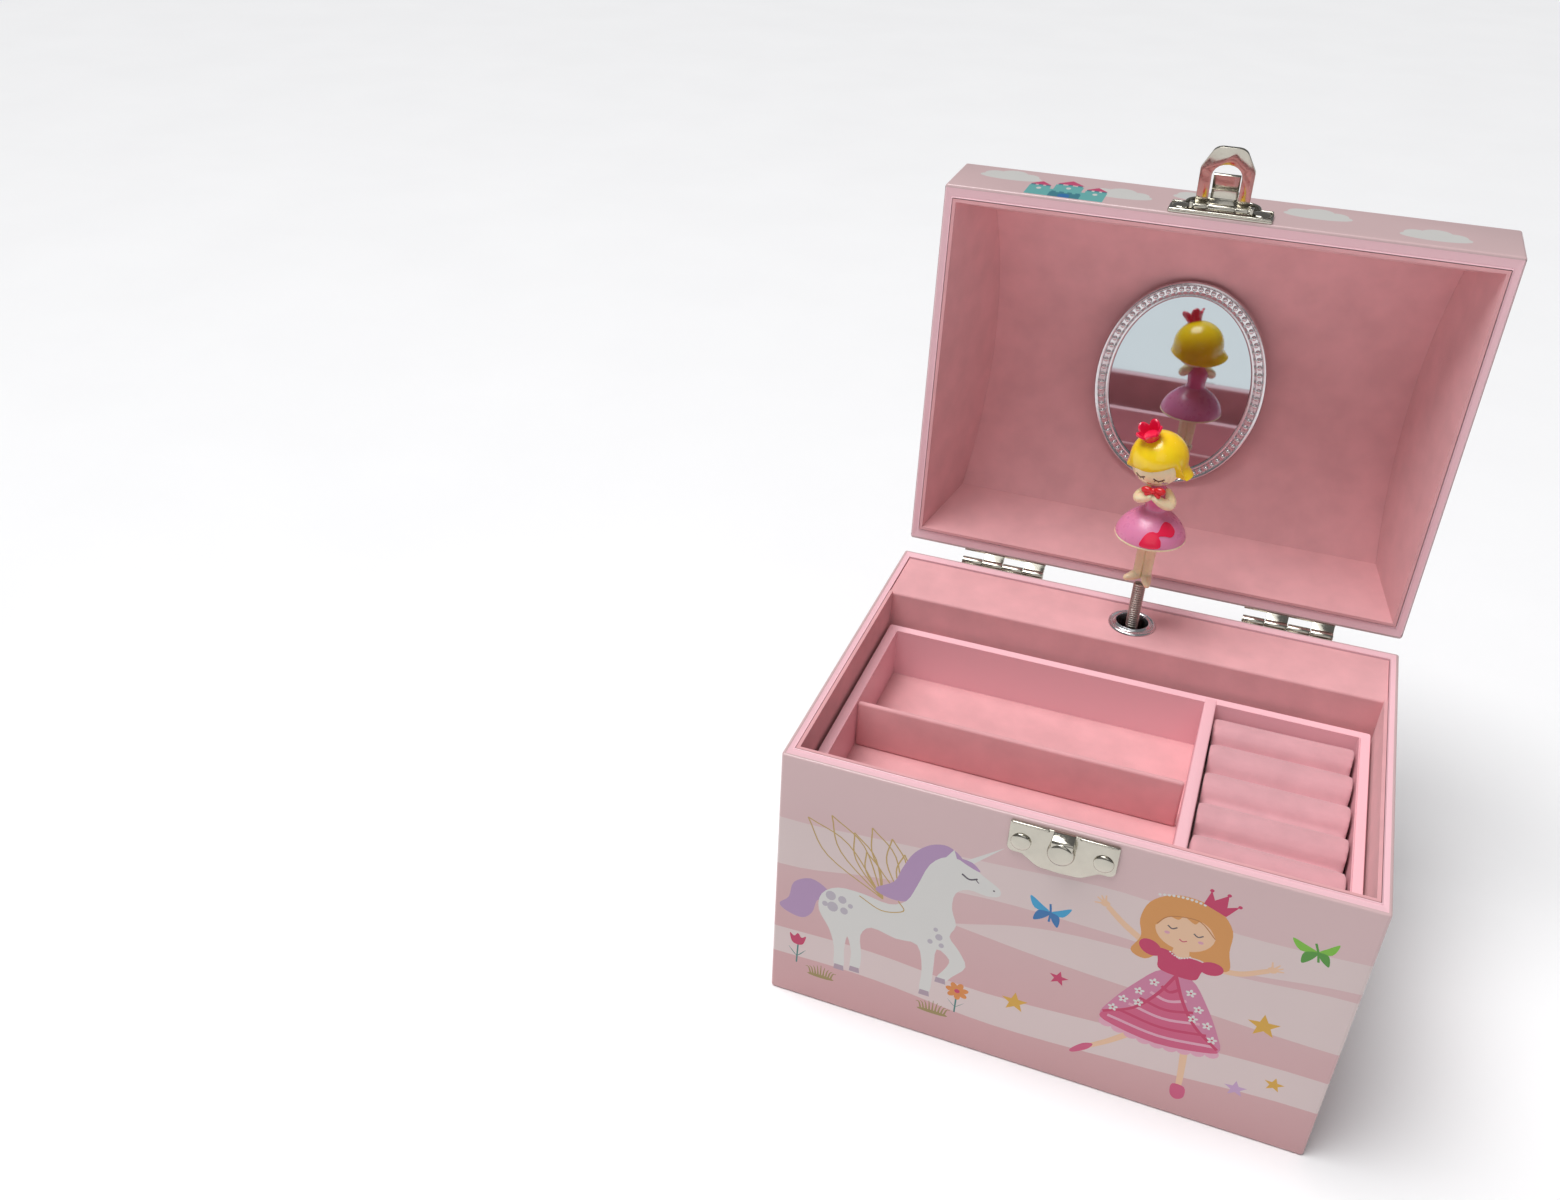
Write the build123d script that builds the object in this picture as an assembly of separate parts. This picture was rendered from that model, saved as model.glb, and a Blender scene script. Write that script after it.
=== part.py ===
from build123d import *
import math
import os

# Ballerina jewellery box, lid open. Millimetres, +Z up, front face towards -Y.
# The origin is the middle of the box's flat underside.

# ---- driving dimensions -------------------------------------------------
WIDTH = 160.0            # along X
DEPTH = 123.2            # along Y
BODY_HEIGHT = 93.3       # floor to the seam
LID_WALL = 25.0          # straight part of the lid's front and back
DOME_RISE = 16.0
SIDE_WALL = 2.6          # thickness of the left and right boards
LONG_WALL = 3.9          # thickness of the front and back boards
DOME_THICK = 2.5
CEILING_DROP = DOME_THICK + 1.6   # from the dome's outside to the ceiling card
FLOOR_THICK = 3.0
CARD = 1.0               # lining card
LINER_GAP = 0.2
SEAM_GAP = 0.2

HALF_W = WIDTH / 2
HALF_D = DEPTH / 2
INNER_W = HALF_W - SIDE_WALL
INNER_D = HALF_D - LONG_WALL
SEAM = BODY_HEIGHT + SEAM_GAP

# lid hinges
PIVOT_Y = HALF_D + 3.6
PIVOT_Z = BODY_HEIGHT - 1.4
HINGE_X = 46.5
HINGE_WIDTH = 28.0
KNUCKLES = 4
KNUCKLE_R = 1.6
PIN_R = 0.75
RUNNING = 0.05           # radial clearance of pins in knuckles
LEAF_THICK = 0.8
LEAF_HEIGHT = 13.0

# rear platform over the movement
PLATFORM_FRONT = 33.8
PLATFORM_THICK = 2.5
PLATFORM_TOP = BODY_HEIGHT - 0.6
PARTITION_THICK = 2.0
FIGURE_Y = 46.5          # the spindle's axis

# lift-out tray
TRAY_TOP = BODY_HEIGHT - 11.4
TRAY_DEPTH = 17.0
TRAY_FLOOR = 2.0
TRAY_HALF_W = 75.7
TRAY_FRONT = -48.2
TRAY_BACK = 31.8
TRAY_WALL = 3.6
RINGS_LEFT = 27.0        # left face of the wall beside the ring rolls
DIVIDER_Y = -13.6
DIVIDER_THICK = 1.8
RING_ROLLS = 5
LEDGE = 2.0

# music movement
BARREL_Z = 38.0
BARREL_R = 13.4
CROWN_R = 12.0           # pitch radius of the face teeth
CROWN_TEETH = 48
MODULE = 0.5
PINION_TEETH = 12
CYLINDER_WHEEL_TEETH = 28
GOVERNOR_TEETH = 10
PLATE_Y = 55.8           # front face of the movement's plate
PLATE_THICK = 1.6
CYLINDER_R = 6.3
CYLINDER_LEFT = 15.0
CYLINDER_RIGHT = 33.0
ARBOR_R = 2.0
SPINDLE_R = 1.5

# latch
PLATE = 0.8              # sheet metal
LATCH_PIN_Y = -HALF_D - 1.9
LATCH_PIN_Z = SEAM + 3.0
LATCH_PIN_R = 0.6
FLAP_OPEN = 68.0         # degrees that the flap stands out at rest
TONGUE_OPEN = 59.0

# pearl handle
PEARL_D = 10.9
PEARL_PITCH = 11.0
PEARL_HEADINGS = (50.0, 46.5, 25.5, 11.5, 3.5)   # rise of each step to the middle
HANDLE_Y = -2.0
WIRE_R = 1.0

# figure
SPRING_R = 2.0
SPRING_BOTTOM = BODY_HEIGHT - 1.6
SPRING_TOP = BODY_HEIGHT + 15.6


# ---- small helpers --------------------------------------------------------
def block(x0, x1, y0, y1, z0, z1):
    centre = Pos((x0 + x1) / 2, (y0 + y1) / 2, (z0 + z1) / 2)
    return centre * Box(x1 - x0, y1 - y0, z1 - z0)


def rod_x(x0, x1, y, z, radius):
    return Pos((x0 + x1) / 2, y, z) * Rot(0, 90, 0) * Cylinder(radius, x1 - x0)


def rod_y(x, y0, y1, z, radius):
    return Pos(x, (y0 + y1) / 2, z) * Rot(90, 0, 0) * Cylinder(radius, y1 - y0)


def rod_z(x, y, z0, z1, radius):
    return Pos(x, y, (z0 + z1) / 2) * Cylinder(radius, z1 - z0)


def plate_xz(points, y0, y1):
    """An outline of (x, z) points, as a plate between y0 and y1."""
    outline = Plane.XZ * make_face(Polyline(*points, close=True))
    return Pos(0, y1, 0) * extrude(outline, y1 - y0)


def plate_yz(points, x0, x1):
    """An outline of (y, z) points, as a plate between x0 and x1."""
    outline = Plane.YZ * make_face(Polyline(*points, close=True))
    return Pos(x0, 0, 0) * extrude(outline, x1 - x0)


def hexahedron(lower, upper):
    """A solid between two quadrilaterals with matching corners."""
    sides = [[lower[i - 1], lower[i], upper[i], upper[i - 1]] for i in range(4)]
    quads = [lower[::-1], upper] + sides
    faces = [Face(Wire.make_polygon(quad, close=True)) for quad in quads]
    return Solid(Shell(faces))


def opened(shape):
    """Takes a lid piece from the closed position to the open one."""
    return Pos(0, PIVOT_Y, PIVOT_Z) * Rot(-90, 0, 0) * Pos(0, -PIVOT_Y, -PIVOT_Z) * shape


def swung(shape, degrees):
    """Turns a latch piece out from the front about the latch pin."""
    pin = Pos(0, LATCH_PIN_Y, LATCH_PIN_Z)
    back = Pos(0, -LATCH_PIN_Y, -LATCH_PIN_Z)
    return pin * Rot(-degrees, 0, 0) * back * shape


def group(shapes):
    """Separate solids in one sub-part."""
    return Compound(children=[solid for shape in shapes for solid in shape.solids()])


def save(shape, name):
    solids = shape.solids()
    whole = solids[0] if len(solids) == 1 else Compound(children=list(solids))
    export_step(whole, f"parts/{name}.step")


# ---- fasteners ------------------------------------------------------------
def screw(x, z, face_y, outward, head_r, shank_r, length):
    """A domed screw driven along Y into a wall; outward is -1 at the front, +1 at the back."""
    head = rod_y(x, *sorted((face_y, face_y + outward * 0.9)), z, head_r)
    outer_edge = head.faces().sort_by(Axis.Y)[0 if outward < 0 else -1].edges()
    head = fillet(outer_edge, 0.5)
    shank = rod_y(x, *sorted((face_y, face_y - outward * length)), z, shank_r)
    return head + shank


def latch_screws(z):
    spacing = 11.0
    face = -HALF_D - PLATE
    return [screw(x, z, face, -1, 2.5, 1.0, 3.6) for x in (-spacing, spacing)]


def hinge_screws(z):
    face = HALF_D + LEAF_THICK
    xs = [side * HINGE_X + step for side in (-1, 1) for step in (-8.0, 8.0)]
    return [screw(x, z, face, 1, 2.0, 0.9, 3.6) for x in xs]


# ---- body -----------------------------------------------------------------
def body_walls(front_screws, back_screws):
    front = block(-HALF_W, HALF_W, -HALF_D, -INNER_D, 0, BODY_HEIGHT)
    back = block(-HALF_W, HALF_W, INNER_D, HALF_D, 0, BODY_HEIGHT)
    back -= rod_y(0, INNER_D - 1, HALF_D + 1, BARREL_Z, 4.5)
    for item in front_screws:
        front -= item
    for item in back_screws:
        back -= item
    sides = [
        block(x, x + SIDE_WALL, -INNER_D, INNER_D, 0, BODY_HEIGHT)
        for x in (-HALF_W, INNER_W)
    ]
    save(front, "body_front_wall")
    save(back, "body_back_wall")
    save(group(sides), "body_side_walls")
    save(block(-INNER_W, INNER_W, -INNER_D, INNER_D, 0, FLOOR_THICK), "body_floor")


def body_lining():
    low = FLOOR_THICK
    outer = INNER_D - LINER_GAP
    front = block(-INNER_W + LINER_GAP, INNER_W - LINER_GAP, -outer, -outer + CARD,
                  low, BODY_HEIGHT)
    x_out = INNER_W - LINER_GAP
    sides = [
        block(min(s * x_out, s * (x_out - CARD)), max(s * x_out, s * (x_out - CARD)),
              -outer + CARD, PLATFORM_FRONT, low, BODY_HEIGHT)
        for s in (-1, 1)
    ]
    x_in = x_out - CARD
    ledge_top = TRAY_TOP - TRAY_DEPTH - TRAY_FLOOR
    ledges = [
        block(min(s * x_in, s * (x_in - LEDGE)), max(s * x_in, s * (x_in - LEDGE)),
              -outer + CARD, PLATFORM_FRONT, low, ledge_top)
        for s in (-1, 1)
    ]
    save(front, "liner_front")
    save(group(sides), "liner_sides")
    save(group(ledges), "tray_ledges")


def platform():
    x_out = INNER_W - LINER_GAP
    top = block(-x_out, x_out, PLATFORM_FRONT, INNER_D - LINER_GAP,
                PLATFORM_TOP - PLATFORM_THICK, PLATFORM_TOP)
    top -= rod_z(0, FIGURE_Y, BODY_HEIGHT - 6, BODY_HEIGHT + 1, 5.6)
    front = block(-x_out, x_out, PLATFORM_FRONT, PLATFORM_FRONT + PARTITION_THICK,
                  FLOOR_THICK, PLATFORM_TOP - PLATFORM_THICK)
    save(top, "platform_top")
    save(front, "platform_front")


def grommet():
    """Chromed eyelet: a rolled flange on the platform and a tube through it."""
    bore, tube, flange = 5.0, 5.55, 7.5
    low, high = PLATFORM_TOP - 4.0, PLATFORM_TOP + 1.5
    with BuildPart() as eyelet:
        with BuildSketch(Plane.XZ):
            with BuildLine():
                Polyline((bore, low), (tube, low), (tube, PLATFORM_TOP), (flange, PLATFORM_TOP))
                ThreePointArc((flange, PLATFORM_TOP), ((bore + flange) / 2 + 0.3, high),
                              (bore, PLATFORM_TOP + 0.6))
                Line((bore, PLATFORM_TOP + 0.6), (bore, low))
            make_face()
        revolve(axis=Axis.Z)
    save(Pos(0, FIGURE_Y, 0) * eyelet.part, "grommet")


# ---- lid hinges -----------------------------------------------------------
def knuckle_spans(centre):
    length = HINGE_WIDTH / KNUCKLES
    left = centre - HINGE_WIDTH / 2
    return [(left + i * length + 0.15, left + (i + 1) * length - 0.15) for i in range(KNUCKLES)]


def leaf(centre, first, edge_z, far_z):
    """One hinge leaf on the back face, with every second knuckle starting at first."""
    face = HALF_D
    low, high = sorted((edge_z, far_z))
    plate = block(centre - HINGE_WIDTH / 2, centre + HINGE_WIDTH / 2,
                  face, face + LEAF_THICK, low, high)
    sign = 1 if far_z > edge_z else -1
    for x0, x1 in knuckle_spans(centre)[first::2]:
        arm = [(face, edge_z), (face, edge_z + sign * 1.4), (PIVOT_Y + 0.3, PIVOT_Z + sign * 1.4),
               (PIVOT_Y - 0.8, PIVOT_Z)]
        plate += plate_yz(arm, x0, x1)
        plate += rod_x(x0, x1, PIVOT_Y, PIVOT_Z, KNUCKLE_R)
    return plate - rod_x(centre - HINGE_WIDTH, centre + HINGE_WIDTH, PIVOT_Y, PIVOT_Z,
                         PIN_R + RUNNING)


def hinges(body_screws, lid_screws):
    body_leaves, lid_leaves = [], []
    for centre in (-HINGE_X, HINGE_X):
        lower = leaf(centre, 0, BODY_HEIGHT - 0.8, BODY_HEIGHT - LEAF_HEIGHT)
        upper = leaf(centre, 1, SEAM + 0.8, SEAM + LEAF_HEIGHT)
        for item in body_screws:
            lower -= item
        for item in lid_screws:
            upper -= item
        body_leaves.append(lower)
        lid_leaves.append(upper)
    pins = [
        rod_x(centre - HINGE_WIDTH / 2, centre + HINGE_WIDTH / 2, PIVOT_Y, PIVOT_Z, PIN_R)
        for centre in (-HINGE_X, HINGE_X)
    ]
    save(group(body_leaves), "hinge_body_leaves")
    save(group(pins), "hinge_pins")
    save(opened(group(lid_leaves)), "hinge_lid_leaves")


# ---- latch ----------------------------------------------------------------
def latch_lower(screws):
    """Plate with a hanging belly and a round catch standing out of its middle."""
    top = BODY_HEIGHT - 1.0
    y0, y1 = -HALF_D - PLATE, -HALF_D
    side, shoulder, belly = 14.5, 10.5, 14.0
    with BuildPart() as plate:
        with BuildSketch(Plane.XZ):
            with BuildLine():
                Polyline((-side, top - shoulder), (-side, top), (side, top), (side, top - shoulder))
                Line((side, top - shoulder), (9.5, top - shoulder - 0.4))
                ThreePointArc((9.5, top - shoulder - 0.4), (0, top - belly),
                              (-9.5, top - shoulder - 0.4))
                Line((-9.5, top - shoulder - 0.4), (-side, top - shoulder))
            make_face()
        extrude(amount=PLATE)
    body = Pos(0, y1, 0) * plate.part
    catch_z = BODY_HEIGHT - 5.5
    body += rod_y(0, y0 - 3.2, y0, catch_z, 2.2)
    head = rod_y(0, y0 - 4.2, y0 - 3.0, catch_z, 3.8)
    body += fillet(head.faces().sort_by(Axis.Y)[0].edges(), 0.5)
    for item in screws:
        body -= item
    save(body, "latch_lower_plate")


def latch_upper(screws):
    """Humped plate on the lid with windows for the flap, a thumb bulge and lugs for the pin."""
    low = SEAM + 0.2
    y0, y1 = -HALF_D - PLATE, -HALF_D
    outline = [(-14.5, low), (-14.5, SEAM + 9.5), (-10.5, SEAM + 9.5), (-8.6, SEAM + 13.5),
               (-6.0, SEAM + 16.0), (6.0, SEAM + 16.0), (8.6, SEAM + 13.5), (10.5, SEAM + 9.5),
               (14.5, SEAM + 9.5), (14.5, low)]
    plate = plate_xz(outline, y0, y1)
    plate -= block(-7.6, 7.6, y0 - 1, y1 + 1, SEAM - 3, LATCH_PIN_Z + 1.6)
    for x0, x1 in ((-8.8, -7.8), (7.8, 8.8)):
        plate += block(x0, x1, LATCH_PIN_Y - 1.2, y0, LATCH_PIN_Z - 1.2, LATCH_PIN_Z + 1.2)
    bulge = [(y0, SEAM + 8.6), (y0 - 3.0, SEAM + 8.2), (y0 - 4.2, SEAM + 9.4),
             (y0 - 4.0, SEAM + 11.4), (y0 - 2.2, SEAM + 13.2), (y0, SEAM + 13.8)]
    plate += plate_yz(bulge, -3.7, 3.7)
    plate -= rod_x(-10, 10, LATCH_PIN_Y, LATCH_PIN_Z, LATCH_PIN_R)
    for item in screws:
        plate -= item
    save(opened(plate), "latch_upper_plate")
    pin = rod_x(-8.8, 8.8, LATCH_PIN_Y, LATCH_PIN_Z, LATCH_PIN_R)
    save(opened(pin), "latch_pin")


def latch_flap():
    """Slotted pointed flap that drops over the catch."""
    y0, y1 = LATCH_PIN_Y - 0.4, LATCH_PIN_Y + 0.4
    half, slot, tip = 7.4, 4.1, SEAM - 17.6
    with BuildPart() as sheet:
        with BuildSketch(Plane.XZ):
            with BuildLine():
                Polyline((-half, SEAM - 10.5), (-half, LATCH_PIN_Z), (half, LATCH_PIN_Z),
                         (half, SEAM - 10.5), (3.8, tip + 2.0))
                ThreePointArc((3.8, tip + 2.0), (0, tip), (-3.8, tip + 2.0))
                Line((-3.8, tip + 2.0), (-half, SEAM - 10.5))
            make_face()
        extrude(amount=y1 - y0)
    flap = Pos(0, y1, 0) * sheet.part
    for side in (-1, 1):
        flap += rod_x(*sorted((side * slot, side * half)), LATCH_PIN_Y, LATCH_PIN_Z, 1.15)
    flap -= block(-slot, slot, y0 - 1, y1 + 1, SEAM - 8, LATCH_PIN_Z + 2)
    flap -= rod_y(0, y0 - 1, y1 + 1, SEAM - 8, slot)
    flap -= rod_x(-10, 10, LATCH_PIN_Y, LATCH_PIN_Z, LATCH_PIN_R + RUNNING)
    save(opened(swung(flap, FLAP_OPEN)), "latch_flap")


def latch_tongue():
    """Bent strap between the flap's two sides, which closes over the catch."""
    outer = -HALF_D - PLATE - 5.5
    bend_z = SEAM - 0.5
    end_z = SEAM - 6.2
    strap = [(LATCH_PIN_Y, LATCH_PIN_Z + 0.95), (outer + 0.6, bend_z + 1.4), (outer, bend_z),
             (outer, end_z), (outer + 0.8, end_z), (outer + 0.8, bend_z - 0.2),
             (LATCH_PIN_Y - 0.3, LATCH_PIN_Z - 1.0)]
    tongue = plate_yz(strap, -3.7, 3.7)
    tongue += rod_x(-3.7, 3.7, LATCH_PIN_Y, LATCH_PIN_Z, 1.15)
    tongue -= rod_x(-10, 10, LATCH_PIN_Y, LATCH_PIN_Z, LATCH_PIN_R + RUNNING)
    save(opened(swung(tongue, TONGUE_OPEN)), "latch_tongue")


# ---- music movement -------------------------------------------------------
def gear_outline(teeth, phase):
    """Straight-flanked teeth; one tooth is centred on the angle phase (degrees)."""
    pitch_r = MODULE * teeth / 2
    root_r, tip_r = pitch_r - 0.7, pitch_r + 0.35
    step = 360 / teeth
    root_half = math.degrees(0.42 / pitch_r)
    tip_half = math.degrees(0.2 / pitch_r)
    points = []
    for i in range(teeth):
        centre = phase + i * step
        for radius, offset in ((root_r, -root_half), (tip_r, -tip_half),
                               (tip_r, tip_half), (root_r, root_half)):
            angle = math.radians(centre + offset)
            points.append((radius * math.cos(angle), radius * math.sin(angle)))
    return make_face(Polyline(*points, close=True))


def gear_on_x(teeth, phase, x0, x1, y, z):
    return Pos(x0, y, z) * extrude(Plane.YZ * gear_outline(teeth, phase), x1 - x0)


def crown_teeth(low_y):
    """Face teeth of the spring barrel, pointing along +Y towards the back."""
    profile = [(-0.42, -0.2), (0.42, -0.2), (0.21, 1.15), (-0.21, 1.15)]
    teeth = []
    for i in range(CROWN_TEETH):
        tooth = make_face(Polyline(*profile, close=True))
        # drawn in X and Y, then thickened along Z, which is the radial direction
        bar = Pos(0, low_y, 10.9) * extrude(tooth, 2.2)
        teeth.append(Rot(0, i * 360 / CROWN_TEETH, 0) * bar)
    return teeth


def spring_barrel():
    front, back = 36.8, 42.7
    drum = rod_y(0, front, back, 0, BARREL_R)
    drum -= rod_y(0, front + 1.0, back - 1.0, 0, BARREL_R - 1.0)
    drum -= rod_y(0, front - 1, back + 1, 0, ARBOR_R + RUNNING)
    drum = drum.fuse(*crown_teeth(back))
    coil = rod_y(0, front + 1.4, back - 1.4, 0, BARREL_R - 1.6)
    coil -= rod_y(0, front, back, 0, 4.5)
    save(Pos(0, 0, BARREL_Z) * drum, "spring_barrel")
    save(Pos(0, 0, BARREL_Z) * coil, "mainspring")


def winding():
    key_y = HALF_D + 1.2
    arbor = rod_y(0, 37.2, key_y + 7.0, BARREL_Z, ARBOR_R)
    boss = rod_y(0, key_y, key_y + 8.0, BARREL_Z, 4.0)
    wings = Pos(0, key_y + 11.0, BARREL_Z) * extrude(
        Plane.YZ * (Pos(0, 8.5) * Ellipse(6.0, 7.0) + Pos(0, -8.5) * Ellipse(6.0, 7.0)
                    + Rectangle(10.0, 9.0)), 0.9, both=True)
    key = boss + wings - arbor
    save(arbor, "winding_arbor")
    save(key, "winding_key")


def spindle():
    pinion_z = BARREL_Z + CROWN_R
    shaft = rod_z(0, FIGURE_Y, pinion_z - 1.6, SPRING_BOTTOM - 0.4, SPINDLE_R)
    gear = extrude(gear_outline(PINION_TEETH, 270 + 15), 2.2)
    gear = Pos(0, FIGURE_Y, pinion_z - 1.1) * gear - shaft
    save(shaft, "spindle_shaft")
    save(gear, "spindle_pinion")


def music_cylinder():
    z = BARREL_Z
    shaft = rod_x(5.6, 41.6, FIGURE_Y, z, 1.0)
    drum = rod_x(CYLINDER_LEFT, CYLINDER_RIGHT, FIGURE_Y, z, CYLINDER_R) + shaft
    tracks, pins_per_track = 18, 3
    pitch = (CYLINDER_RIGHT - CYLINDER_LEFT) / tracks
    pins = []
    for track in range(tracks):
        x = CYLINDER_LEFT + (track + 0.5) * pitch
        for i in range(pins_per_track):
            angle = (track * 137.5 + i * 120) % 360
            peg = Pos(0, 0, CYLINDER_R) * Cylinder(0.22, 0.7)
            pins.append(Pos(x, FIGURE_Y, z) * Rot(angle, 0, 0) * peg)
    drum = drum.fuse(*pins)
    pinion_x = CROWN_R
    pinion = gear_on_x(PINION_TEETH, 180 + 15, pinion_x - 1.1, pinion_x + 1.1, FIGURE_Y, z)
    wheel = gear_on_x(CYLINDER_WHEEL_TEETH, 90, 36.2, 38.2, FIGURE_Y, z)
    save(drum, "music_cylinder")
    save(group([pinion - shaft, wheel - shaft]), "cylinder_wheels")


def governor():
    z = BARREL_Z + MODULE * (CYLINDER_WHEEL_TEETH + GOVERNOR_TEETH) / 2
    shaft = rod_x(33.8, 50.0, FIGURE_Y, z, 0.8)
    pinion = gear_on_x(GOVERNOR_TEETH, 270 + 18, 36.0, 38.4, FIGURE_Y, z)
    fan = block(42.5, 49.0, FIGURE_Y - 5.0, FIGURE_Y + 5.0, z - 0.35, z + 0.35)
    fan += rod_x(42.5, 49.0, FIGURE_Y, z, 1.6)
    save(pinion + shaft, "governor_pinion")
    save(fan - shaft, "governor_fan")


def movement_frame():
    z = BARREL_Z
    governor_z = z + MODULE * (CYLINDER_WHEEL_TEETH + GOVERNOR_TEETH) / 2
    plate = block(-19, 46, PLATE_Y, PLATE_Y + PLATE_THICK, z - 19, z + 27)
    plate -= rod_y(0, 50, 60, z, ARBOR_R + RUNNING)
    arbor_block = block(-5, 5, 49, PLATE_Y, z - 5, z + 5)
    arbor_block -= rod_y(0, 40, 60, z, ARBOR_R + RUNNING)
    left_ear = block(6.2, 8.2, 44.7, PLATE_Y, z - 3.2, z + 3.2)
    right_ear = block(39.4, 41.0, 43.0, PLATE_Y, z - 3.5, z + 13)
    cylinder_bore = rod_x(0, 60, FIGURE_Y, z, 1.0 + RUNNING)
    governor_bore = rod_x(0, 60, FIGURE_Y, governor_z, 0.8 + RUNNING)
    governor_ear = block(34.0, 35.4, 44.5, PLATE_Y, z + 7.6, z + 12.5) - governor_bore
    spindle_block = block(-4, 4, 43.5, PLATE_Y, z + 15, z + 19)
    spindle_block -= rod_z(0, FIGURE_Y, z, z + 40, SPINDLE_R + RUNNING)
    brackets = [arbor_block, left_ear - cylinder_bore,
                right_ear - cylinder_bore - governor_bore, governor_ear, spindle_block]
    comb = block(CYLINDER_LEFT, CYLINDER_RIGHT, 53.3, 54.1, z + 0.5, z + 20)
    teeth = 18
    pitch = (CYLINDER_RIGHT - CYLINDER_LEFT) / teeth
    for i in range(1, teeth):
        x = CYLINDER_LEFT + i * pitch
        comb -= block(x - 0.1, x + 0.1, 53, 55, z, z + 12)
    comb += block(CYLINDER_LEFT, CYLINDER_RIGHT, 54.1, PLATE_Y, z + 13, z + 20)
    comb_screws = [screw(x, z + 16.5, 53.3, -1, 1.6, 0.8, 3.4) for x in (19, 29)]
    plate_screws = [screw(x, zz, PLATE_Y, -1, 2.2, 1.0, 4.4)
                    for x, zz in ((-15, z - 15), (-15, z + 23), (42, z - 15), (42, z + 23))]
    for item in comb_screws:
        comb -= item
        plate -= item
    for item in plate_screws:
        plate -= item
    save(plate, "movement_plate")
    save(group(brackets), "bearing_brackets")
    save(comb, "music_comb")
    save(group(comb_screws + plate_screws), "movement_screws")
    return plate_screws


# ---- tray -----------------------------------------------------------------
def tray():
    bottom = TRAY_TOP - TRAY_DEPTH - TRAY_FLOOR
    floor_top = bottom + TRAY_FLOOR
    x = TRAY_HALF_W
    ends = [block(*sorted((s * x, s * (x - TRAY_WALL))), TRAY_FRONT, TRAY_BACK, floor_top, TRAY_TOP)
            for s in (-1, 1)]
    inner_x = x - TRAY_WALL
    longs = [block(-inner_x, inner_x, y, y + TRAY_WALL, floor_top, TRAY_TOP)
             for y in (TRAY_FRONT, TRAY_BACK - TRAY_WALL)]
    y0, y1 = TRAY_FRONT + TRAY_WALL, TRAY_BACK - TRAY_WALL
    mid = block(RINGS_LEFT, RINGS_LEFT + TRAY_WALL, y0, y1, floor_top, TRAY_TOP)
    divider = block(-inner_x, RINGS_LEFT, DIVIDER_Y - DIVIDER_THICK / 2,
                    DIVIDER_Y + DIVIDER_THICK / 2, floor_top, TRAY_TOP - 0.6)
    save(group(ends), "tray_end_walls")
    save(group(longs), "tray_long_walls")
    save(mid, "tray_mid_wall")
    save(divider, "tray_divider")
    save(block(-x, x, TRAY_FRONT, TRAY_BACK, bottom, floor_top), "tray_floor")
    roll_left, roll_right = RINGS_LEFT + TRAY_WALL + 0.4, inner_x - 0.4
    pitch = (y1 - y0) / RING_ROLLS
    rolls = []
    for i in range(RING_ROLLS):
        y = y0 + (i + 0.5) * pitch
        bar = block(roll_left, roll_right, y - pitch / 2 + 0.3, y + pitch / 2 - 0.3,
                    floor_top + 0.2, TRAY_TOP - 0.9)
        rolls.append(fillet(bar.edges().filter_by(Axis.X).group_by(Axis.Z)[-1], pitch / 2 - 1.6))
    save(group(rolls), "ring_rolls")


# ---- lid ------------------------------------------------------------------
def dome_arc(shrink):
    """The dome's arc as end, middle and end points, shrunk inwards by a thickness."""
    radius = (HALF_D ** 2 + DOME_RISE ** 2) / (2 * DOME_RISE)
    base = SEAM + LID_WALL
    centre = base + DOME_RISE - radius
    inner = radius - shrink
    half = HALF_D if shrink == 0 else math.sqrt(inner ** 2 - (base - centre) ** 2)
    return (-half, base), (0, centre + inner), (half, base)


def arched(shrink_outer, shrink_inner, x0, x1):
    """A curved sheet between two concentric arcs."""
    a, b, c = dome_arc(shrink_outer)
    d, e, f = dome_arc(shrink_inner)
    with BuildPart() as sheet:
        with BuildSketch(Plane.YZ):
            with BuildLine():
                ThreePointArc(a, b, c)
                Line(c, f)
                ThreePointArc(f, e, d)
                Line(d, a)
            make_face()
        extrude(amount=x1 - x0)
    return Pos(x0, 0, 0) * sheet.part


def lid_shell(front_screws, back_screws, handle_cuts):
    top = SEAM + LID_WALL
    front = block(-INNER_W, INNER_W, -HALF_D, -INNER_D, SEAM, top)
    back = block(-INNER_W, INNER_W, INNER_D, HALF_D, SEAM, top)
    for item in front_screws:
        front -= item
    for item in back_screws:
        back -= item
    dome = arched(0, DOME_THICK, -INNER_W, INNER_W)
    for item in handle_cuts:
        dome -= item
    a, b, c = dome_arc(0)
    with BuildPart() as end:
        with BuildSketch(Plane.YZ):
            with BuildLine():
                ThreePointArc(a, b, c)
                Polyline(c, (HALF_D, SEAM), (-HALF_D, SEAM), a)
            make_face()
        extrude(amount=SIDE_WALL)
    ends = [Pos(x, 0, 0) * end.part for x in (-HALF_W, INNER_W)]
    save(opened(front), "lid_front_wall")
    save(opened(back), "lid_back_wall")
    save(opened(dome), "lid_dome")
    save(opened(group(ends)), "lid_end_walls")


def below_arch(shrink):
    """Everything in the lid under one of the dome's concentric arcs."""
    a, b, c = dome_arc(shrink)
    base = SEAM + LID_WALL
    with BuildPart() as room:
        with BuildSketch(Plane.YZ):
            with BuildLine():
                ThreePointArc(a, b, c)
                Polyline(c, (HALF_D, base), (HALF_D, SEAM), (-HALF_D, SEAM), (-HALF_D, base), a)
            make_face()
        extrude(amount=WIDTH)
    return Pos(-HALF_W, 0, 0) * room.part


def rectangle_at(half_x, y0, y1, z):
    return [Vector(-half_x, y0, z), Vector(half_x, y0, z), Vector(half_x, y1, z),
            Vector(-half_x, y1, z)]


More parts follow.
